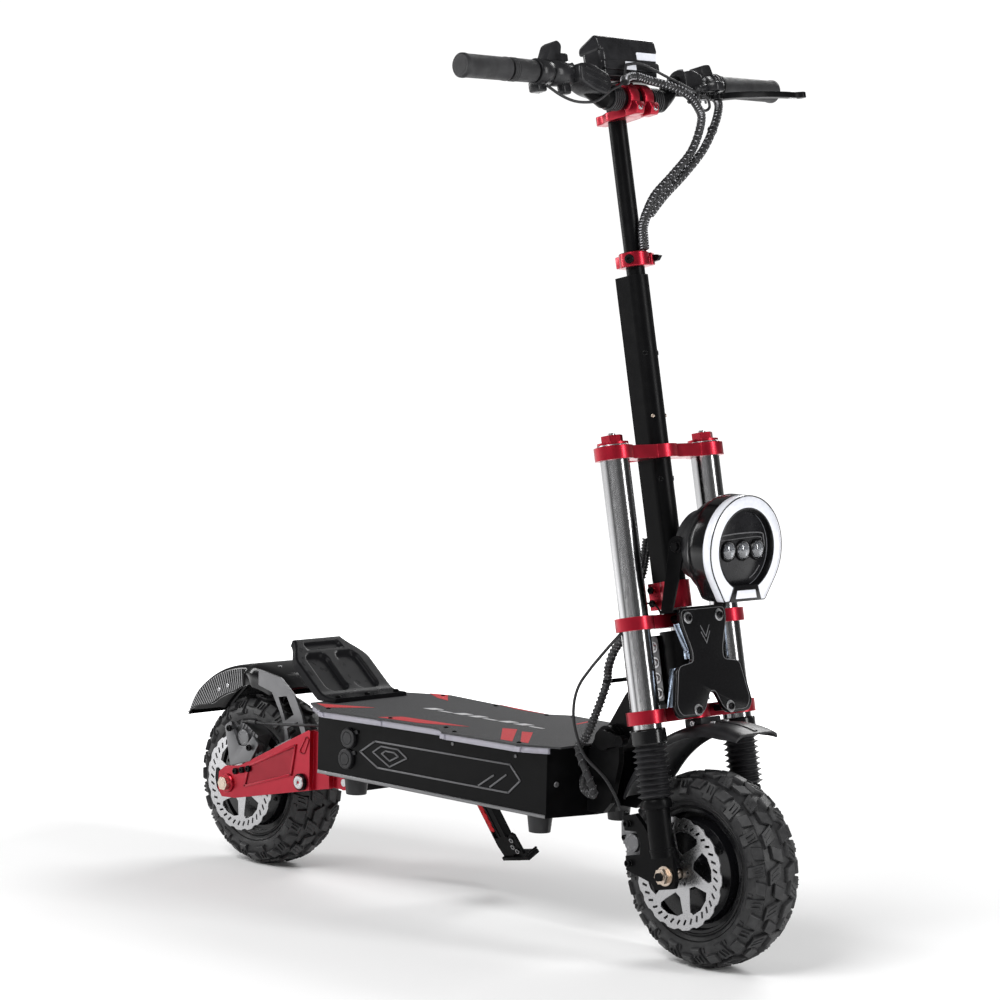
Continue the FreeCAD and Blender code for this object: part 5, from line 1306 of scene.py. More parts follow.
def display():
    """Instrument: rounded shell with a hooded rim, glass screen, blank labels and its rear rib."""
    x, z = 30, BAR_TOP
    side = rounded([(x - 8, z + 25), (x + 5, z + 31), (x + 8, z + 60), (x + 4, z + 84), (x - 6, z + 90),
                    (x - 34, z + 78), (x - 33, z + 30)], 12, 6)
    shape = Shape()
    shape.add(prism(side, -60, 60, "XZ"), 11.0, steps=6)
    hood = rounded([(x + 7, z + 68), (x + 4, z + 87), (x - 4, z + 92), (x - 36, z + 78),
                    (x - 37, z + 66)], 7, 5)
    shape.add(prism(hood, -61, 61, "XZ"), 9.0, steps=6)
    shape.add(box((x - 26, -18, z + 22.6), (18, 36, 10)), 2.0)
    shape.add(prism(rounded([(-58, z + 40), (58, z + 40), (58, z + 54), (-58, z + 54)], 4), x - 10,
                    x + 9.4, "YZ"), 1.6)
    shape.make("display_shell", "bars", "gloss_plastic", FORK, replaces=["display"],
               soft=40)
    plane = local_frame(Vector((x - 20.5, 0, z + 83.5)), SCREEN_RISE, SCREEN_OUT) @ Matrix.Scale(1 / MM, 4)
    screen = Shape()
    outline = rounded([(-14, -52), (14, -52), (14, 52), (-14, 52)], 6, 4)
    screen.add(prism(outline, 1.0, 4.0), 0.5, plane)
    screen.make("display_glass", "bars", "dark_glass", FORK)
    segments = Shape()
    for digit in (-9, 9):
        for start, end in (((-10, 0), (0, 0)), ((0, 0), (10, 0)), ((-10, 9), (0, 9)), ((0, 9), (10, 9)),
                           ((-10, 0), (-10, 9)), ((0, 0), (0, 9)), ((10, 0), (10, 9))):
            segments.add(bar_between((start[0], digit - 4.5 + start[1]), (end[0], digit - 4.5 + end[1]),
                                     1.6, 4.0,
                                     4.3, "XY"), 0, plane)
    segments.make("display_digits", "bars", "white_ring", FORK)
    # The labels take the glowing ring finish, so they glow a little though they are no lamp.
    labels = Shape()
    labels.add(prism(rounded([(14, z + 57), (54, z + 57), (54, z + 68), (14, z + 68)], 1.5), x + 5,
                     x + 8.4, "YZ"))
    labels.add(prism(rounded([(-14, z + 41), (8, z + 41), (8, z + 53), (-14, z + 53)], 1.5), x + 8.8,
                     x + 9.8, "YZ"))
    labels.make("display_blank_labels", "bars", "white_ring", FORK)


def clamp_details():
    """Bolts of the handlebar clamp, the height clamp and the column, and the column's side holes."""
    silver = Shape()
    for y in (-16, 16):
        silver.add(bolt(4.6, 3.4), 0, aim((57.6, y, BAR_TOP - 18), (0.9, 0, 0.3)))
    silver.make("bar_clamp_bolts", "bars", "plain_steel", FORK)
    red = Shape()
    for y in (-15, 15):
        arc = [math.radians(-70 + 13.5 * index) for index in range(21)]
        block_side = [(30 + 22.4 * math.cos(turn), BAR_TOP + 22.4 * math.sin(turn)) for turn in arc]
        block_side += [(30 + 15.9 * math.cos(turn), BAR_TOP + 15.9 * math.sin(turn)) for turn in arc[::-1]]
        red.add(prism(block_side, y - 9, y + 9, "XZ"), 0.8)
        ear = rounded([(36, BAR_TOP - 14), (58, BAR_TOP - 8), (61, BAR_TOP - 16), (57, BAR_TOP - 27),
                       (36, BAR_TOP - 27)], 3, 3)
        red.add(prism(ear, y - 8, y + 8, "XZ"), 1.5, steps=3)
    base = rounded([(-36, -9), (-30, -14), (-18, -14), (-3, -22), (22, -21), (44, -16), (44, 16),
                    (22, 21), (-3, 22),
                    (-18, 14), (-30, 14), (-36, 9)], 5, 3)
    red.add(prism(base, BAR_TOP - 26, BAR_TOP - 13), 1.2, steps=3)
    red.make("bar_clamp_body", "bars", "red_metal", FORK, replaces=["bar_clamp"])
    column = Shape()
    for z in (739, 557):
        for side in (-1, 1):
            column.add(lathe([(2.2, 0), (3.8, 0), (3.8, 0.7), (2.2, 0.7)], 20, True), 0,
                       aim((8, side * 13.3, z), (0.65, side * 0.76, 0)))
    column.make("column_hole_rims", "fork_upper", "gloss_black", FORK)
    brass = Shape()
    for side in (-1, 1):
        brass.add(bolt(2.6, 1.4), 0, aim((8, side * 13.3, 648), (0.65, side * 0.76, 0)))
    brass.make("column_grounding_screws", "fork_upper", "brass_nut", FORK)
    bolts = Shape()
    for z in (382, 401):
        bolts.add(bolt(5.4, 3.2), 0, aim((-30, -21, z), (0, -1, 0)))
        bolts.add(bolt(5.4, 3.2), 0, aim((-30, 17, z), (0, 1, 0)))
    bolts.make("clamp_bolts", "fork_upper", "black_metal", FORK)
    ring = Shape()
    ring.add(lathe([(13.7, 865.2), (20.8, 865.2), (21.8, 866.4), (21.8, 885), (20.8, 886.2),
                    (13.7, 886.2)], 56, True),
             0, Matrix.Translation((-3, 0, 0)))
    ear = rounded([(-30, -12), (-14, -14), (-14, 14), (-30, 12)], 3)
    ring.add(prism(ear, 867, 884), 1.2)
    lug = rounded([(6, 12), (16, 17), (12, 28), (-2, 27), (-4, 16)], 3)
    ring.add(prism(lug, 866.5, 884.5), 1.2)
    ring.make("height_clamp_ring", "fork_upper", "red_metal", FORK, replaces=["height_clamp"])
    knob = Shape()
    facing = Vector((0.42, -0.9, 0)).normalized()
    knob.add(lathe([(6.8, 0), (6.8, 3.2), (5.6, 4.4), (2.6, 4.4, 6), (2.6, 1.6, 6), (0.3, 1.6)], 32), 0,
             aim((-3 + 21.2 * facing.x, 21.2 * facing.y, 875.6), tuple(facing)))
    knob.make("height_clamp_bolt", "fork_upper", "black_metal", FORK)


# ---------------------------------------------------------------- cables

def sleeve_path(path, radius):
    """Corrugated conduit: a core tube with a raised spiral wound round it."""
    line = smooth_path(path, 8)
    return tube(line, radius, 14), wound_path(line, radius + 0.5, 5.6, 10)


def braid_strands(shape, path, radius):
    """Crossing strands woven round a path."""
    line = smooth_path(path, 8)
    for hand in (-1, 1):
        for index in range(3):
            shape.add(tube(wound_path(line, radius, 15.0, 12, hand, index / 3), 0.95, 5))


def hang_between(piece):
    """Bake a hanging piece's placement into its mesh; the piece rides on no body."""
    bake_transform(piece)


def sleeve_flecks(shape, path, radius):
    """Short pale threads in rows on a spiral round a sleeve."""
    spiral = wound_path(smooth_path(path, 8), radius, 6.0, 8)
    for index in range(0, len(spiral) - 1, 2):
        shape.add(tube([spiral[index], spiral[index].lerp(spiral[index + 1], 0.6)], 0.7, 5))


def cable_set(name, body, material, paths, radius):
    """Plain cables as one piece."""
    shape = Shape()
    for path in paths:
        shape.add(tube(smooth_path(path, 8), radius, 10))
    shape.make(name, body, material, FORK)


SLEEVES = [
    [(52, -34, 1122), (50, -28, 1129), (49, -8, 1133), (48, 22, 1129), (47, 63, 1124), (46, 103, 1114),
     (46, 123, 1096), (45, 129, 1076), (42, 104, 1032), (36, 63, 996), (28, 26, 965), (20, 8, 935)],
    [(28, 148, 1116), (30, 155, 1117), (32, 176, 1117), (32, 186, 1111), (33, 184, 1098), (40, 161, 1070),
     (44, 125, 1032), (38, 84, 996), (31, 44, 965), (24, 16, 938)],
]
SLEEVE_END = [(34, 62, 990), (28, 34, 964), (21, 12, 938), (17, 5, 920), (17, 3, 904), (17, 2, 888)]


def sleeves():
    """Two braided sleeves that leave the bar controls and meet at the height clamp."""
    core = Shape()
    wound = Shape()
    for path in SLEEVES:
        core.add(tube(smooth_path(path, 8), 5.4, 14))
        braid_strands(wound, path, 5.5)
    hanging = [core.make("sleeve_cores", None, "black_rubber", FORK),
               wound.make("sleeve_windings", None, "braid", FORK)]
    flecks = Shape()
    for path in SLEEVES:
        sleeve_flecks(flecks, path, 6.3)
    sleeve_flecks(flecks, SLEEVE_END, 7.6)
    hanging.append(flecks.make("sleeve_flecks", None, "pale_fleck", FORK))
    stem_sleeve = Shape()
    stem_sleeve.add(tube(smooth_path(SLEEVE_END, 8), 6.6, 14))
    hanging.append(stem_sleeve.make("stem_sleeve", None, "black_rubber", FORK))
    stem_braid = Shape()
    braid_strands(stem_braid, SLEEVE_END, 6.8)
    hanging.append(stem_braid.make("stem_sleeve_braid", None, "braid", FORK))
    for piece in hanging:
        hang_between(piece)


def cables():
    """Brake and throttle cables and ties at the bar, and the harness behind the crowns."""
    cable_set("bar_cables", "bars", "black_rubber", [
        [(46, -20, 1150), (48, 10, 1152), (48, 64, 1136), (45, 118, 1121), (33, 158, 1118),
         (26, 166, 1122)],
        [(26, -168, 1116), (34, -150, 1101), (38, -129, 1093), (40, -104, 1092), (42, -83, 1096),
         (46, -57, 1111),
         (48, -35, 1122), (46, -20, 1150)],
        [(44, 132, 1120), (44, 126, 1108), (44, 130, 1096), (44, 142, 1092), (44, 152, 1098),
         (44, 150, 1110),
         (44, 140, 1117)]], 2.1)
    ties = Shape()
    for (x, y, z), direction in (((49, -8, 1133), (0, 1, 0)), ((46, 112, 1106), (0, 0.7, -0.7)),
                                 ((41, 155, 1064), (0, 0.6, 0.7)), ((34, 54, 985), (0, 0.7, 0.7))):
        ties.add(lathe([(6.4, -1.6), (7.4, -1.2), (7.4, 1.2), (6.4, 1.6)], 20, True), 0,
                 aim((x, y, z), direction))
    hang_between(ties.make("cable_ties", None, "black_plastic", FORK))
    harness = [[(-44, 6, 480), (-46, 0, 462), (-46, -7, 445), (-46, -15, 428), (-46, -30, 404),
                (-44, -46, 380),
                (-46, -64, 352), (-48, -72, 338)],
               [(-40, -8, 476), (-42, -14, 455), (-42, -22, 436), (-42, -36, 410), (-42, -56, 382),
                (-44, -66, 360)]]
    shape = Shape()
    wound = Shape()
    for path in harness:
        inner, outer = sleeve_path(path, 3.6)
        shape.add(inner)
        wound.add(tube(outer, 1.2, 6))
    clip = [(-7, -60, 383), (3, -52, 378), (2, -42, 367), (-8, -34, 360)]
    shape.add(tube(smooth_path(clip, 6), 1.4, 8))
    shape.make("crown_harness", "fork_upper", "black_rubber", FORK)
    wound.make("crown_harness_winding", "fork_upper", "braid", FORK)


grips()
controls()
lever()
display()
clamp_details()
sleeves()
cables()


# ---------------------------------------------------------------- fenders

def arc_loft(centre, angles, section):
    """Solid swept round an axle-wise centre; section gives (radius, y) corners at an angle in degrees."""
    solid = bmesh.new()
    rings = []
    for angle in angles:
        turn = math.radians(angle)
        ring = []
        for radius, y in section(angle):
            ring.append(solid.verts.new((centre[0] - radius * math.cos(turn), y,
                                         centre[1] + radius * math.sin(turn))))
        rings.append(ring)
    count = len(rings[0])
    for first, second in zip(rings, rings[1:]):
        for here in range(count):
            there = (here + 1) % count
            solid.faces.new((first[here], first[there], second[there], second[here]))
    solid.faces.new(rings[0][::-1])
    solid.faces.new(rings[-1])
    return solid


def steps_between(low, high, count):
    """Evenly spaced values."""
    return [low + (high - low) * index / count for index in range(count + 1)]


FENDER_CENTRE = (0, 130)
FENDER_RADIUS = 198


def skirt_depth(angle):
    """Depth of the rear fender's side at an angle: a point at the tail, deepest behind the bracket."""
    return 3 + 38 * smooth_step(angle, 29, 56) - 12 * smooth_step(angle, 74, 92)


def fender_half(angle):
    """Half width of the rear fender, narrower towards the tail."""
    return 44 + 7 * smooth_step(angle, 30, 48)


def rear_fender_section(angle):
    """Channel with rounded shoulders."""
    depth = skirt_depth(angle)
    half = fender_half(angle)
    outside = [(FENDER_RADIUS - depth - 2, half), (FENDER_RADIUS - 7, half),
               (FENDER_RADIUS - 3, half - 2.4),
               (FENDER_RADIUS - 0.8, half - 7), (FENDER_RADIUS, half - 16)]
    inside = [(radius - 2.6, y - 2.4) for radius, y in outside[1:]]
    inside = [(outside[0][0], half - 2.6)] + inside
    return (outside + [(radius, -y) for radius, y in reversed(outside)]
            + [(radius, -y) for radius, y in inside] + list(reversed(inside)))


def hood_section(angle):
    """Bulky front cover of the rear fender."""
    swell = smooth_step(angle, 84, 94) * (1 - smooth_step(angle, 108, 119))
    half = 51.4 + 4.6 * swell
    top = FENDER_RADIUS + 0.6 + 3.4 * swell
    low = FENDER_RADIUS - 8 - 26 * swell
    outside = [(low, half - 2), (low + 6 * swell, half), (top - 15, half), (top - 6, half - 3),
               (top - 1.4, half - 11),
               (top, half - 22)]
    inside = [(low, half - 5), (top - 15, half - 4), (top - 8, half - 8), (top - 5, half - 14),
              (top - 4, half - 24)]
    return (outside + [(radius, -y) for radius, y in reversed(outside)]
            + [(radius, -y) for radius, y in inside] + list(reversed(inside)))


def rear_fender():
    """Rear fender: glossy channel with a bulky front cover and ribbed grey sides that end in a point."""
    shell = Shape()
    shell.add(arc_loft(FENDER_CENTRE, steps_between(30.9, 119.6, 60), rear_fender_section))
    shell.add(arc_loft(FENDER_CENTRE, steps_between(83, 119.8, 32), hood_section))
    shell.make("rear_fender_shell", "rear_arm", "gloss_black", CHASSIS, replaces=["rear_fender"], soft=42)
    sides = Shape()
    ribs = Shape()
    for side in (-1, 1):
        def panel(angle, side=side):
            depth = skirt_depth(angle)
            half = fender_half(angle)
            near, far = side * (half - 0.4), side * (half + 1.0)
            return [(FENDER_RADIUS - depth - 1.2, near), (FENDER_RADIUS - 8, near),
                    (FENDER_RADIUS - 8, far),
                    (FENDER_RADIUS - depth - 1.2, far)]
        sides.add(arc_loft(FENDER_CENTRE, steps_between(38, 86, 40), panel))
        for index in range(31):
            angle = 32.5 + index * 1.72
            depth = skirt_depth(angle)
            half = fender_half(angle) + 0.6
            turn = math.radians(angle)
            ends = []
            for radius in (FENDER_RADIUS - depth - 0.6, FENDER_RADIUS - 6.6):
                ends.append((-radius * math.cos(turn), 130 + radius * math.sin(turn)))
            low, high = sorted((side * half, side * (half + 1.3)))
            ribs.add(bar_between(ends[0], ends[1], 2.0, low, high))
    sides.make("rear_fender_sides", "rear_arm", "fender_dark", CHASSIS)
    ribs.make("rear_fender_ribs", "rear_arm", "fender_grey", CHASSIS)
    screws = Shape()
    for side in (-1, 1):
        for angle, radius in ((64, 168), (72, 168), (97, 182)):
            turn = math.radians(angle)
            at = (-radius * math.cos(turn), side * 52.4, 130 + radius * math.sin(turn))
            screws.add(bolt(3.4, 2.2), 0, aim(at, (0, side, 0)))
    for y in (-20, 20):
        turn = math.radians(101)
        at = (-202 * math.cos(turn), y, 130 + 202 * math.sin(turn))
        screws.add(bolt(3.4, 1.6), 0, aim(at, (-math.cos(turn), 0, math.sin(turn))))
    screws.make("rear_fender_screws", "rear_arm", "plain_steel", CHASSIS)


FRONT_FENDER_CENTRE = (36, 24)


def front_fender_section(angle):
    """Crowned channel with short sides, flared towards both ends."""
    flare = smooth_step(abs(angle - 76), 30, 44)
    half = 44 + 0.8 * flare
    depth = 17 - 6 * flare
    outside = [(180 - depth, half), (170, half), (175, half - 3.4), (178, half - 9), (179.6, half - 18),
               (180, 12)]
    inside = [(180 - depth, half - 2.8), (169, half - 2.8), (172.6, half - 6.4), (175.2, half - 11.6),
              (176.8, half - 19), (177, 12)]
    return (outside + [(radius, -y) for radius, y in reversed(outside)]
            + [(radius, -y) for radius, y in inside] + list(reversed(inside)))


def front_fender():
    """Front fender with its rib, mounting block and bolts."""
    shape = Shape()
    shape.add(arc_loft(FRONT_FENDER_CENTRE, steps_between(30.2, 117.8, 56), front_fender_section))

    def rib(angle):
        return [(179.0, -5), (181.4, -3.2), (181.4, 3.2), (179.0, 5)]
    shape.add(arc_loft(FRONT_FENDER_CENTRE, steps_between(96, 116, 14), rib))
    shape.add(prism(rounded([(3, 198), (35, 198), (35, 212.8), (3, 212.8)], 2), -21, 21, "XZ"), 1.5)
    shape.make("front_fender_shell", "fork_upper", "fender_black", FORK, replaces=["front_fender"],
               soft=42)
    bolts = Shape()
    for side in (-1, 1):
        bolts.add(bolt(4.2, 2.6), 0, aim((19, side * 21, 206), (0, side, 0)))
        bolts.add(bolt(4.2, 2.6), 0, aim((50, side * 14, 203.6), (0.08, 0, 1)))
    bolts.make("front_fender_bolts", "fork_upper", "plain_steel", FORK)


# ---------------------------------------------------------------- rear arm, brakes and stand

def arm_details():
    """Bolts, red trims, recessed panels with painted shade on their floors, caliper mount and brake cable of
    the swing arm.
    """
    dark = Shape()
    silver = Shape()
    for side in (-1, 1):
        at = (181, side * 94, 166)
        dark.add(lathe([(10.6, 0), (13.4, 0), (13.4, 4.6), (12.2, 5.6), (10.6, 5.6)], 40, True), 0,
                 aim(at, (0, side, 0)))
        silver.add(lathe([(2.8, 1.2), (2.8, 6.9, 6), (4.6, 7.6), (9.6, 7.2), (10.8, 5.6),
                          (10.8, 0)][::-1], 40), 0,
                   aim(at, (0, side, 0)))
        for x, z in ((21, 162), (37, 166), (53, 170)):
            dark.add(lathe([(5.2, 0), (5.2, 4.2), (4.2, 5.0), (2.4, 5.0, 6), (2.4, 2.4, 6), (0.3, 2.4)],
                           24), 0,
                     aim((x, side * 93.6, z), (0, side, 0)))
    dark.make("arm_dark_bolts", "rear_arm", "black_metal", CHASSIS)
    silver.make("arm_silver_bolts", "rear_arm", "plain_steel", CHASSIS)
    red = Shape()
    for side in (-1, 1):
        red.add(lathe([(9, 0), (15.4, 0), (15.4, 2.4), (14.0, 3.8), (9, 3.8)], 40, True), 0,
                aim((0, side * 94, 140), (0, side, 0)))
        scoop = rounded([(176, 214), (192, 240), (199, 236), (187, 210)], 5)
        low, high = sorted((side * 93.6, side * 95.4))
        strip_loop(red, scoop, 1.6, low, high)
        low, high = sorted((side * 93.4, side * 96.2))
        strip_loop(red, [(44, 141), (54, 175), (167, 223), (157, 174)], 3.4, low, high)
    red.make("arm_red_trims", "rear_arm", "red_metal", CHASSIS)
    # Darker red sheets laid on the floors of the recessed panels: painted shade.
    floor = Shape()
    for side in (-1, 1):
        low, high = sorted((side * 93.4, side * 94.2))
        floor.add(prism(rounded([(48, 144), (57, 173), (163, 218), (154, 176)], 4), low, high, "XZ"))
    floor.make("arm_recess_painted_shade", "rear_arm", "red_shade", CHASSIS)
    mount = Shape()
    outline = [(7, 169), (57, 183), (76, 212), (62, 224), (43.5, 205), (26.5, 205), (6.5, 242), (-8, 232.5)]
    mount.add(prism(rounded(outline, 3), -95, -88.6, "XZ"), 0.8)
    mount.make("rear_caliper_mount", "rear_arm", "cast_alloy", CHASSIS)
    path = [(26, -86, 242), (44, -86, 245), (80, -85, 246), (130, -84, 250), (176, -84, 255),
            (210, -80, 258)]
    cable = Shape()
    cable.add(tube(smooth_path(path, 8), 2.3, 10))
    cable.add(tube(smooth_path([(44, -86, 245), (52, -86, 245.4), (60, -86, 245.6)], 4), 3.6, 12))
    piece = cable.make("rear_brake_cable", None, "black_rubber", CHASSIS)
    tail = Shape()
    tail.add(tube(smooth_path([(210, -80, 258), (222, -76, 259), (236, -72, 259)], 6), 2.3, 10))
    tail.make("rear_cable_tail", "deck", "black_rubber", CHASSIS)
    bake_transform(piece)


def caliper_details(name, body, frame, centre, tilt, axle):
    """Bolts, adjuster dial, cable arm and cooling ribs on a disc caliper."""
    turned = Matrix.Translation((centre[0], 0, centre[1] + axle)) @ Matrix.Rotation(math.radians(tilt), 4,
                                                                                    "Y")
    shape = Shape()
    face = -84.6
    dial = lathe([(3, 0), (12.6, 0), (12.6, 5.6), (11.2, 6.8), (8.2, 6.8), (7.4, 5.4), (3, 5.4)], 40, True)
    shape.add(dial, 0, turned @ aim((-1, face - 0.4, 0), (0, -1, 0)))
    for index in range(8):
        turn = index * math.pi / 4
        place = (-1 + 9.8 * math.cos(turn), face - 6.2, 9.8 * math.sin(turn))
        shape.add(lathe([(1.5, 0), (1.5, 1.4), (0.3, 1.6)], 10), 0, turned @ aim(place, (0, -1, 0)))
    for z in (-14, -7, 7, 14):
        shape.add(box((-17.8, face - 1.6, z - 1.2), (35.6, 6, 2.4)), 0.5, turned)
    shape.add(prism(rounded([(-28, 2), (-18, -6), (-12, 6), (-16, 30), (-27, 30)], 4), face + 1, face + 7,
                    "XZ"), 1.2,
              turned)
    shape.make(name + "_details", body, "cast_alloy", frame)
    dark = Shape()
    for z in (-28, 28):
        dark.add(bolt(5.2, 4.0), 0, turned @ aim((-1, -99.0, z), (0, -1, 0)))
    dark.add(lathe([(4.6, 0), (4.6, 10), (3.4, 13)], 20), 0, turned @ aim((-22, -78, 30), (0, 0, 1)))
    dark.add(bolt(3.6, 3.2), 0, turned @ aim((-21, face + 0.6, 6), (0, -1, 0)))
    dark.make(name + "_bolts", body, "black_metal", frame)


def front_cable():
    """Front brake cable: clipped to the sprung leg, with a loop that rides on no body."""
    fixed = Shape()
    fixed.add(tube(smooth_path([(-3, -109, 352), (-14, -117, 340), (-35, -119, 326), (-71, -118, 303)],
                               8), 2.2, 10))
    fixed.make("front_cable_upper", "fork_upper", "black_rubber", FORK)
    loop = [(-71, -118, 303), (-99, -118, 281), (-114, -118, 258), (-121, -117, 230), (-120, -114, 202),
            (-113, -110, 176), (-92, -100, 146), (-84, -90, 118), (-84, -82, 96)]
    shape = Shape()
    shape.add(tube(smooth_path(loop, 8), 2.2, 10))
    piece = shape.make("front_brake_cable", None, "black_rubber", FORK)
    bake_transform(piece)
    axle = Shape()
    for side in (-1, 1):
        axle.add(lathe([(6.6, 0, 6), (6.6, 4.5, 6), (5.8, 5.4), (0.5, 5.4)], 24), 0,
                 aim((0, side * 107.2, 0), (0, side, 0)))
    axle.make("front_axle_ends", "fork_lower", "black_metal", FORK)
    motor = Shape()
    motor.add(tube(smooth_path([(-2, 101, -8), (-14, 104, -6), (-26, 104, 10), (-27, 100, 40),
                                (-24, 96, 84)], 8), 3.4, 12))
    motor.make("front_motor_cable", "fork_lower", "black_rubber", FORK)


def harness():
    """Steering and fold harness in two lengths that meet at a clip on the neck."""
    first = [(-48, -72, 338), (-70, -70, 322), (-90, -65, 300), (-98, -62, 280)]
    second = [(-98, -62, 280), (-106, -74, 251), (-114, -86, 225), (-124, -92, 205), (-142, -93, 187)]
    second = [FORK @ Vector(point) for point in second]
    inverse = CHASSIS.inverted()
    second = [inverse @ point for point in second]
    second += [Vector((812, -90, 238)), Vector((786, -80, 236)), Vector((762, -58, 240)),
               Vector((751, -46, 243))]
    clip = Shape()
    clip.add(box((-103, -68, 277), (10, 46, 6)), 1.5)
    clip.make("harness_clip", "neck", "black_metal", FORK)
    for name, frame, path, bodies, ends in (
            ("steering_harness", FORK, first, ("fork_upper", "neck"),
             (Vector(first[0]), Vector(first[-1]))),
            ("fold_harness", CHASSIS, second, ("neck", "deck"), (second[0], second[-1]))):
        line = smooth_path(path, 8)
        core = Shape()
        core.add(tube(line, 5.2, 14))
        wound = Shape()
        wound.add(tube(wound_path(line, 5.4, 6.6, 10), 1.5, 8))
        for piece in (core.make(name, None, "black_rubber", frame),
                      wound.make(name + "_winding", None, "braid", frame)):
            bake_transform(piece)
    grommet = Shape()
    grommet.add(lathe([(5.6, 0), (9.6, 0), (9.0, 4), (7.0, 6), (5.6, 6)], 28, True), 0,
                aim((749.4, -43, 243.4), (0.97, -0.24, 0)))
    grommet.make("harness_grommet", "deck", "black_rubber", CHASSIS)


def kickstand():
    """Red grip insert, ribs, foot, hole rims and spring of the side stand."""
    lean = Matrix.Rotation(math.radians(-11), 4, "Y")
    length = 132
    insert = Shape()
    edge = [(-6.6, -8), (-6.6, -84)]
    for index in range(13):
        edge.append((4.4 if index % 2 else 1.4, -86 + index * 6.2))
    insert.add(prism(edge, -6.9, 6.9, "XZ"), 0.5, lean)
    insert.make("stand_red_insert", "stand", "red_rough", STAND)
    rib = Shape()
    for x in (8, 22.5):
        rib.add(box((x, -7.2, -length + 36), (2.2, 14.4, length - 50)), 0.6, lean)
    curl = [(-9, -length - 6.4), (34, -length - 6.4), (50, -length - 4), (58, -length + 3),
            (56, -length + 6),
            (48, -length + 0.4), (34, -length - 1), (-9, -length - 0.4)]
    rib.add(prism(curl, -8.6, 15.6, "XZ"), 1.0, lean)
    rib.make("stand_ribs_and_foot", "stand", "black_metal", STAND)
    rings = Shape()
    for x, z in ((34, 30), (30, 18), (36, 10)):
        rings.add(lathe([(2.7, -1.2), (4.0, -1.2), (4.0, 6.4), (2.7, 6.4)], 20, True), 0,
                  lean @ aim((x, -7.0, -length + z), (0, 1, 0)))
    rings.make("stand_hole_rims", "stand", "plain_steel", STAND)
    spring = Shape()
    line = [Vector((30, 0, 2)), Vector((34, 0, -30))]
    path = [line[0].lerp(line[1], index / 12) for index in range(13)]
    spring.add(tube(wound_path(path, 5.4, 3.2, 12), 1.1, 8))
    spring.add(tube([Vector((30, 0, 2)), Vector((30, 0, 8))], 1.4, 8))
    spring.add(tube([Vector((34, 0, -30)), Vector((25, 0, -40))], 1.4, 8))
    spring.make("stand_spring", "stand", "plain_steel", STAND)


rear_fender()
front_fender()
arm_details()
caliper_details("front_caliper", "fork_lower", FORK, (-61, 49), 7, 0)
caliper_details("rear_caliper", "rear_arm", CHASSIS, (35, 79), -63, 140)
front_cable()
harness()
kickstand()


# ---------------------------------------------------------------- finishes of the CAD nodes

def paint_cad_nodes():
    """Give every CAD node the finish of the record's slot."""
    slots = {}
    for part in frame["record"]["subparts"]:
        slots[part["node"]] = part["material_slot"]
    for name, node in frame["nodes"].items():
        node.data.materials.clear()
        node.data.materials.append(FINISHES[slots[name]])


paint_cad_nodes()


# ---------------------------------------------------------------- stage, light and camera

def stage():
    """Pale floor that brightens to the white of the surroundings away from the object."""
    solid = lathe([(60.0, -0.02), (60.0, 0.0), (0.02, 0.0)], 64)
    data = bpy.data.meshes.new("floor")
    solid.to_mesh(data)
    solid.free()
    floor = bpy.data.objects.new("floor", data)
    bpy.context.scene.collection.objects.link(floor)
    made = Finish("floor", (0.93, 0.93, 0.93), 0.75)
    made.set("Base Color", made.mix(made.noise(3.0), (0.92, 0.92, 0.92), (0.94, 0.94, 0.94)))
    away = made.node("ShaderNodeVectorMath", {0: made.where}, operation="LENGTH").outputs["Value"]
    glow = made.node("ShaderNodeMapRange",
                     {"Value": away, "From Min": 0.9, "From Max": 2.4}).outputs["Result"]
    made.set("Emission Color", (1, 1, 1, 1))
    made.set("Emission Strength", glow)
    data.materials.append(made.material)


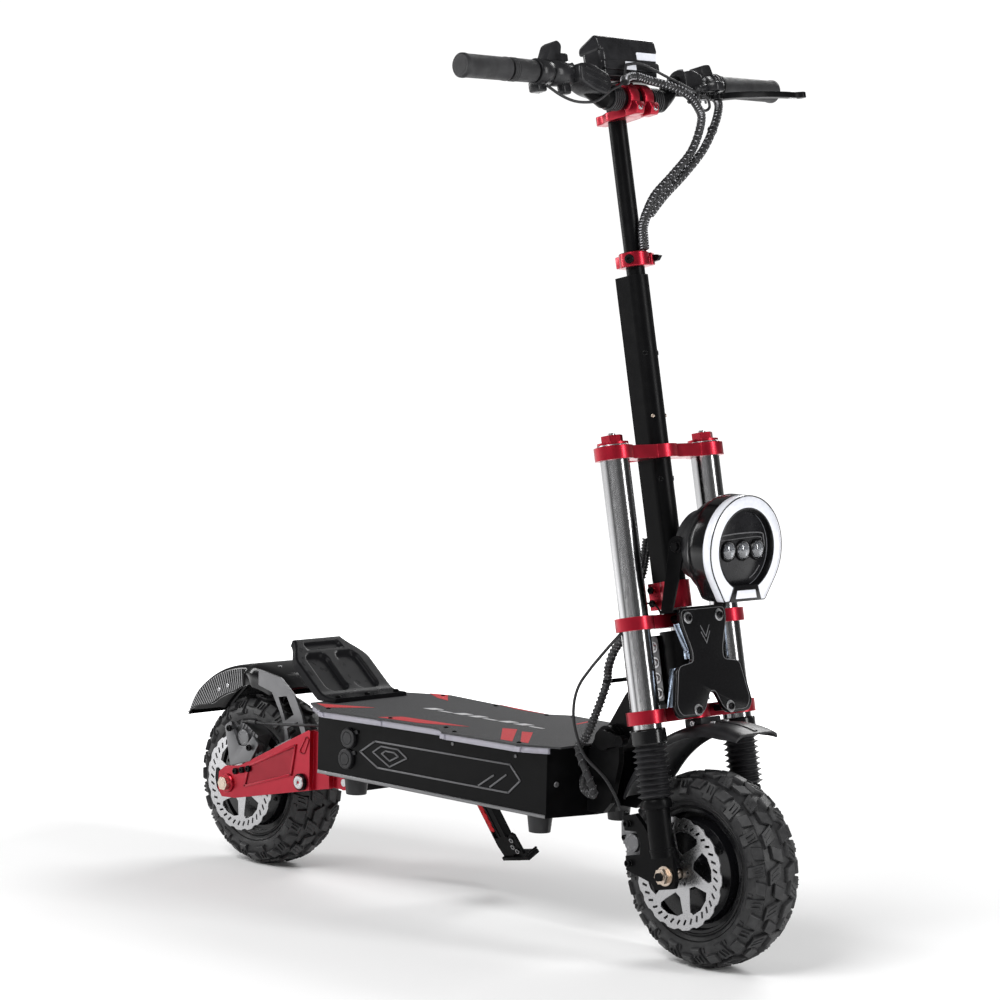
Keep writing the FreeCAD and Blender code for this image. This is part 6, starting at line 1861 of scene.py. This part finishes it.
def area_light(name, at, target, size, watts):
    """Square soft box that looks at a point."""
    data = bpy.data.lights.new(name, "AREA")
    data.shape = "RECTANGLE"
    data.size, data.size_y = size
    data.energy = watts
    lamp = bpy.data.objects.new(name, data)
    bpy.context.scene.collection.objects.link(lamp)
    lamp.location = at
    lamp.rotation_euler = (Vector(target) - Vector(at)).to_track_quat("-Z", "Y").to_euler()
    lamp.visible_camera = False


def light():
    """White surroundings, dimmer in reflections, and soft boxes round the object."""
    world = bpy.data.worlds.new("studio")
    world.use_nodes = True
    tree = world.node_tree
    back = tree.nodes["Background"]
    ray = tree.nodes.new("ShaderNodeLightPath")
    mix = tree.nodes.new("ShaderNodeMix")
    mix.data_type = "FLOAT"
    mix.inputs[2].default_value = 0.18
    mix.inputs[3].default_value = 1.05
    tree.links.new(ray.outputs["Is Camera Ray"], mix.inputs[0])
    tree.links.new(mix.outputs[0], back.inputs["Strength"])
    back.inputs["Color"].default_value = (1, 1, 1, 1)
    bpy.context.scene.world = world
    middle = (0, 0, 0.55)
    area_light("key", (0.6, -3.2, 3.4), middle, (2.2, 1.6), 135)
    area_light("left_fill", (-3.4, -1.6, 1.8), middle, (0.7, 2.4), 60)
    area_light("right_fill", (3.6, 0.8, 1.9), middle, (0.7, 2.4), 70)
    area_light("rear", (-1.0, 3.4, 2.6), middle, (2.4, 1.4), 90)


AZIMUTH = math.radians(45.31)
ELEVATION = math.radians(4.37)
ROLL = math.radians(1.35)
CAMERA_PLACE = Vector((3.3511, -3.2639, 0.9869))
FOCAL = 111.05
SENSOR = 36.0


def camera():
    """Long lens from the front right, a little above the handlebar's middle."""
    data = bpy.data.cameras.new("camera")
    data.lens = FOCAL
    data.sensor_width = SENSOR
    eye = bpy.data.objects.new("camera", data)
    bpy.context.scene.collection.objects.link(eye)
    back = Vector((math.sin(AZIMUTH) * math.cos(ELEVATION), -math.cos(AZIMUTH) * math.cos(ELEVATION),
                   math.sin(ELEVATION)))
    level = Vector((math.cos(AZIMUTH), math.sin(AZIMUTH), 0))
    up = back.cross(level)
    right = level * math.cos(ROLL) + up * math.sin(ROLL)
    eye.matrix_world = Matrix.Translation(CAMERA_PLACE) @ Matrix((right, back.cross(right),
                                                                  back)).transposed().to_4x4()
    bpy.context.scene.camera = eye


stage()
light()
camera()
bpy.context.scene.view_settings.view_transform = "Standard"
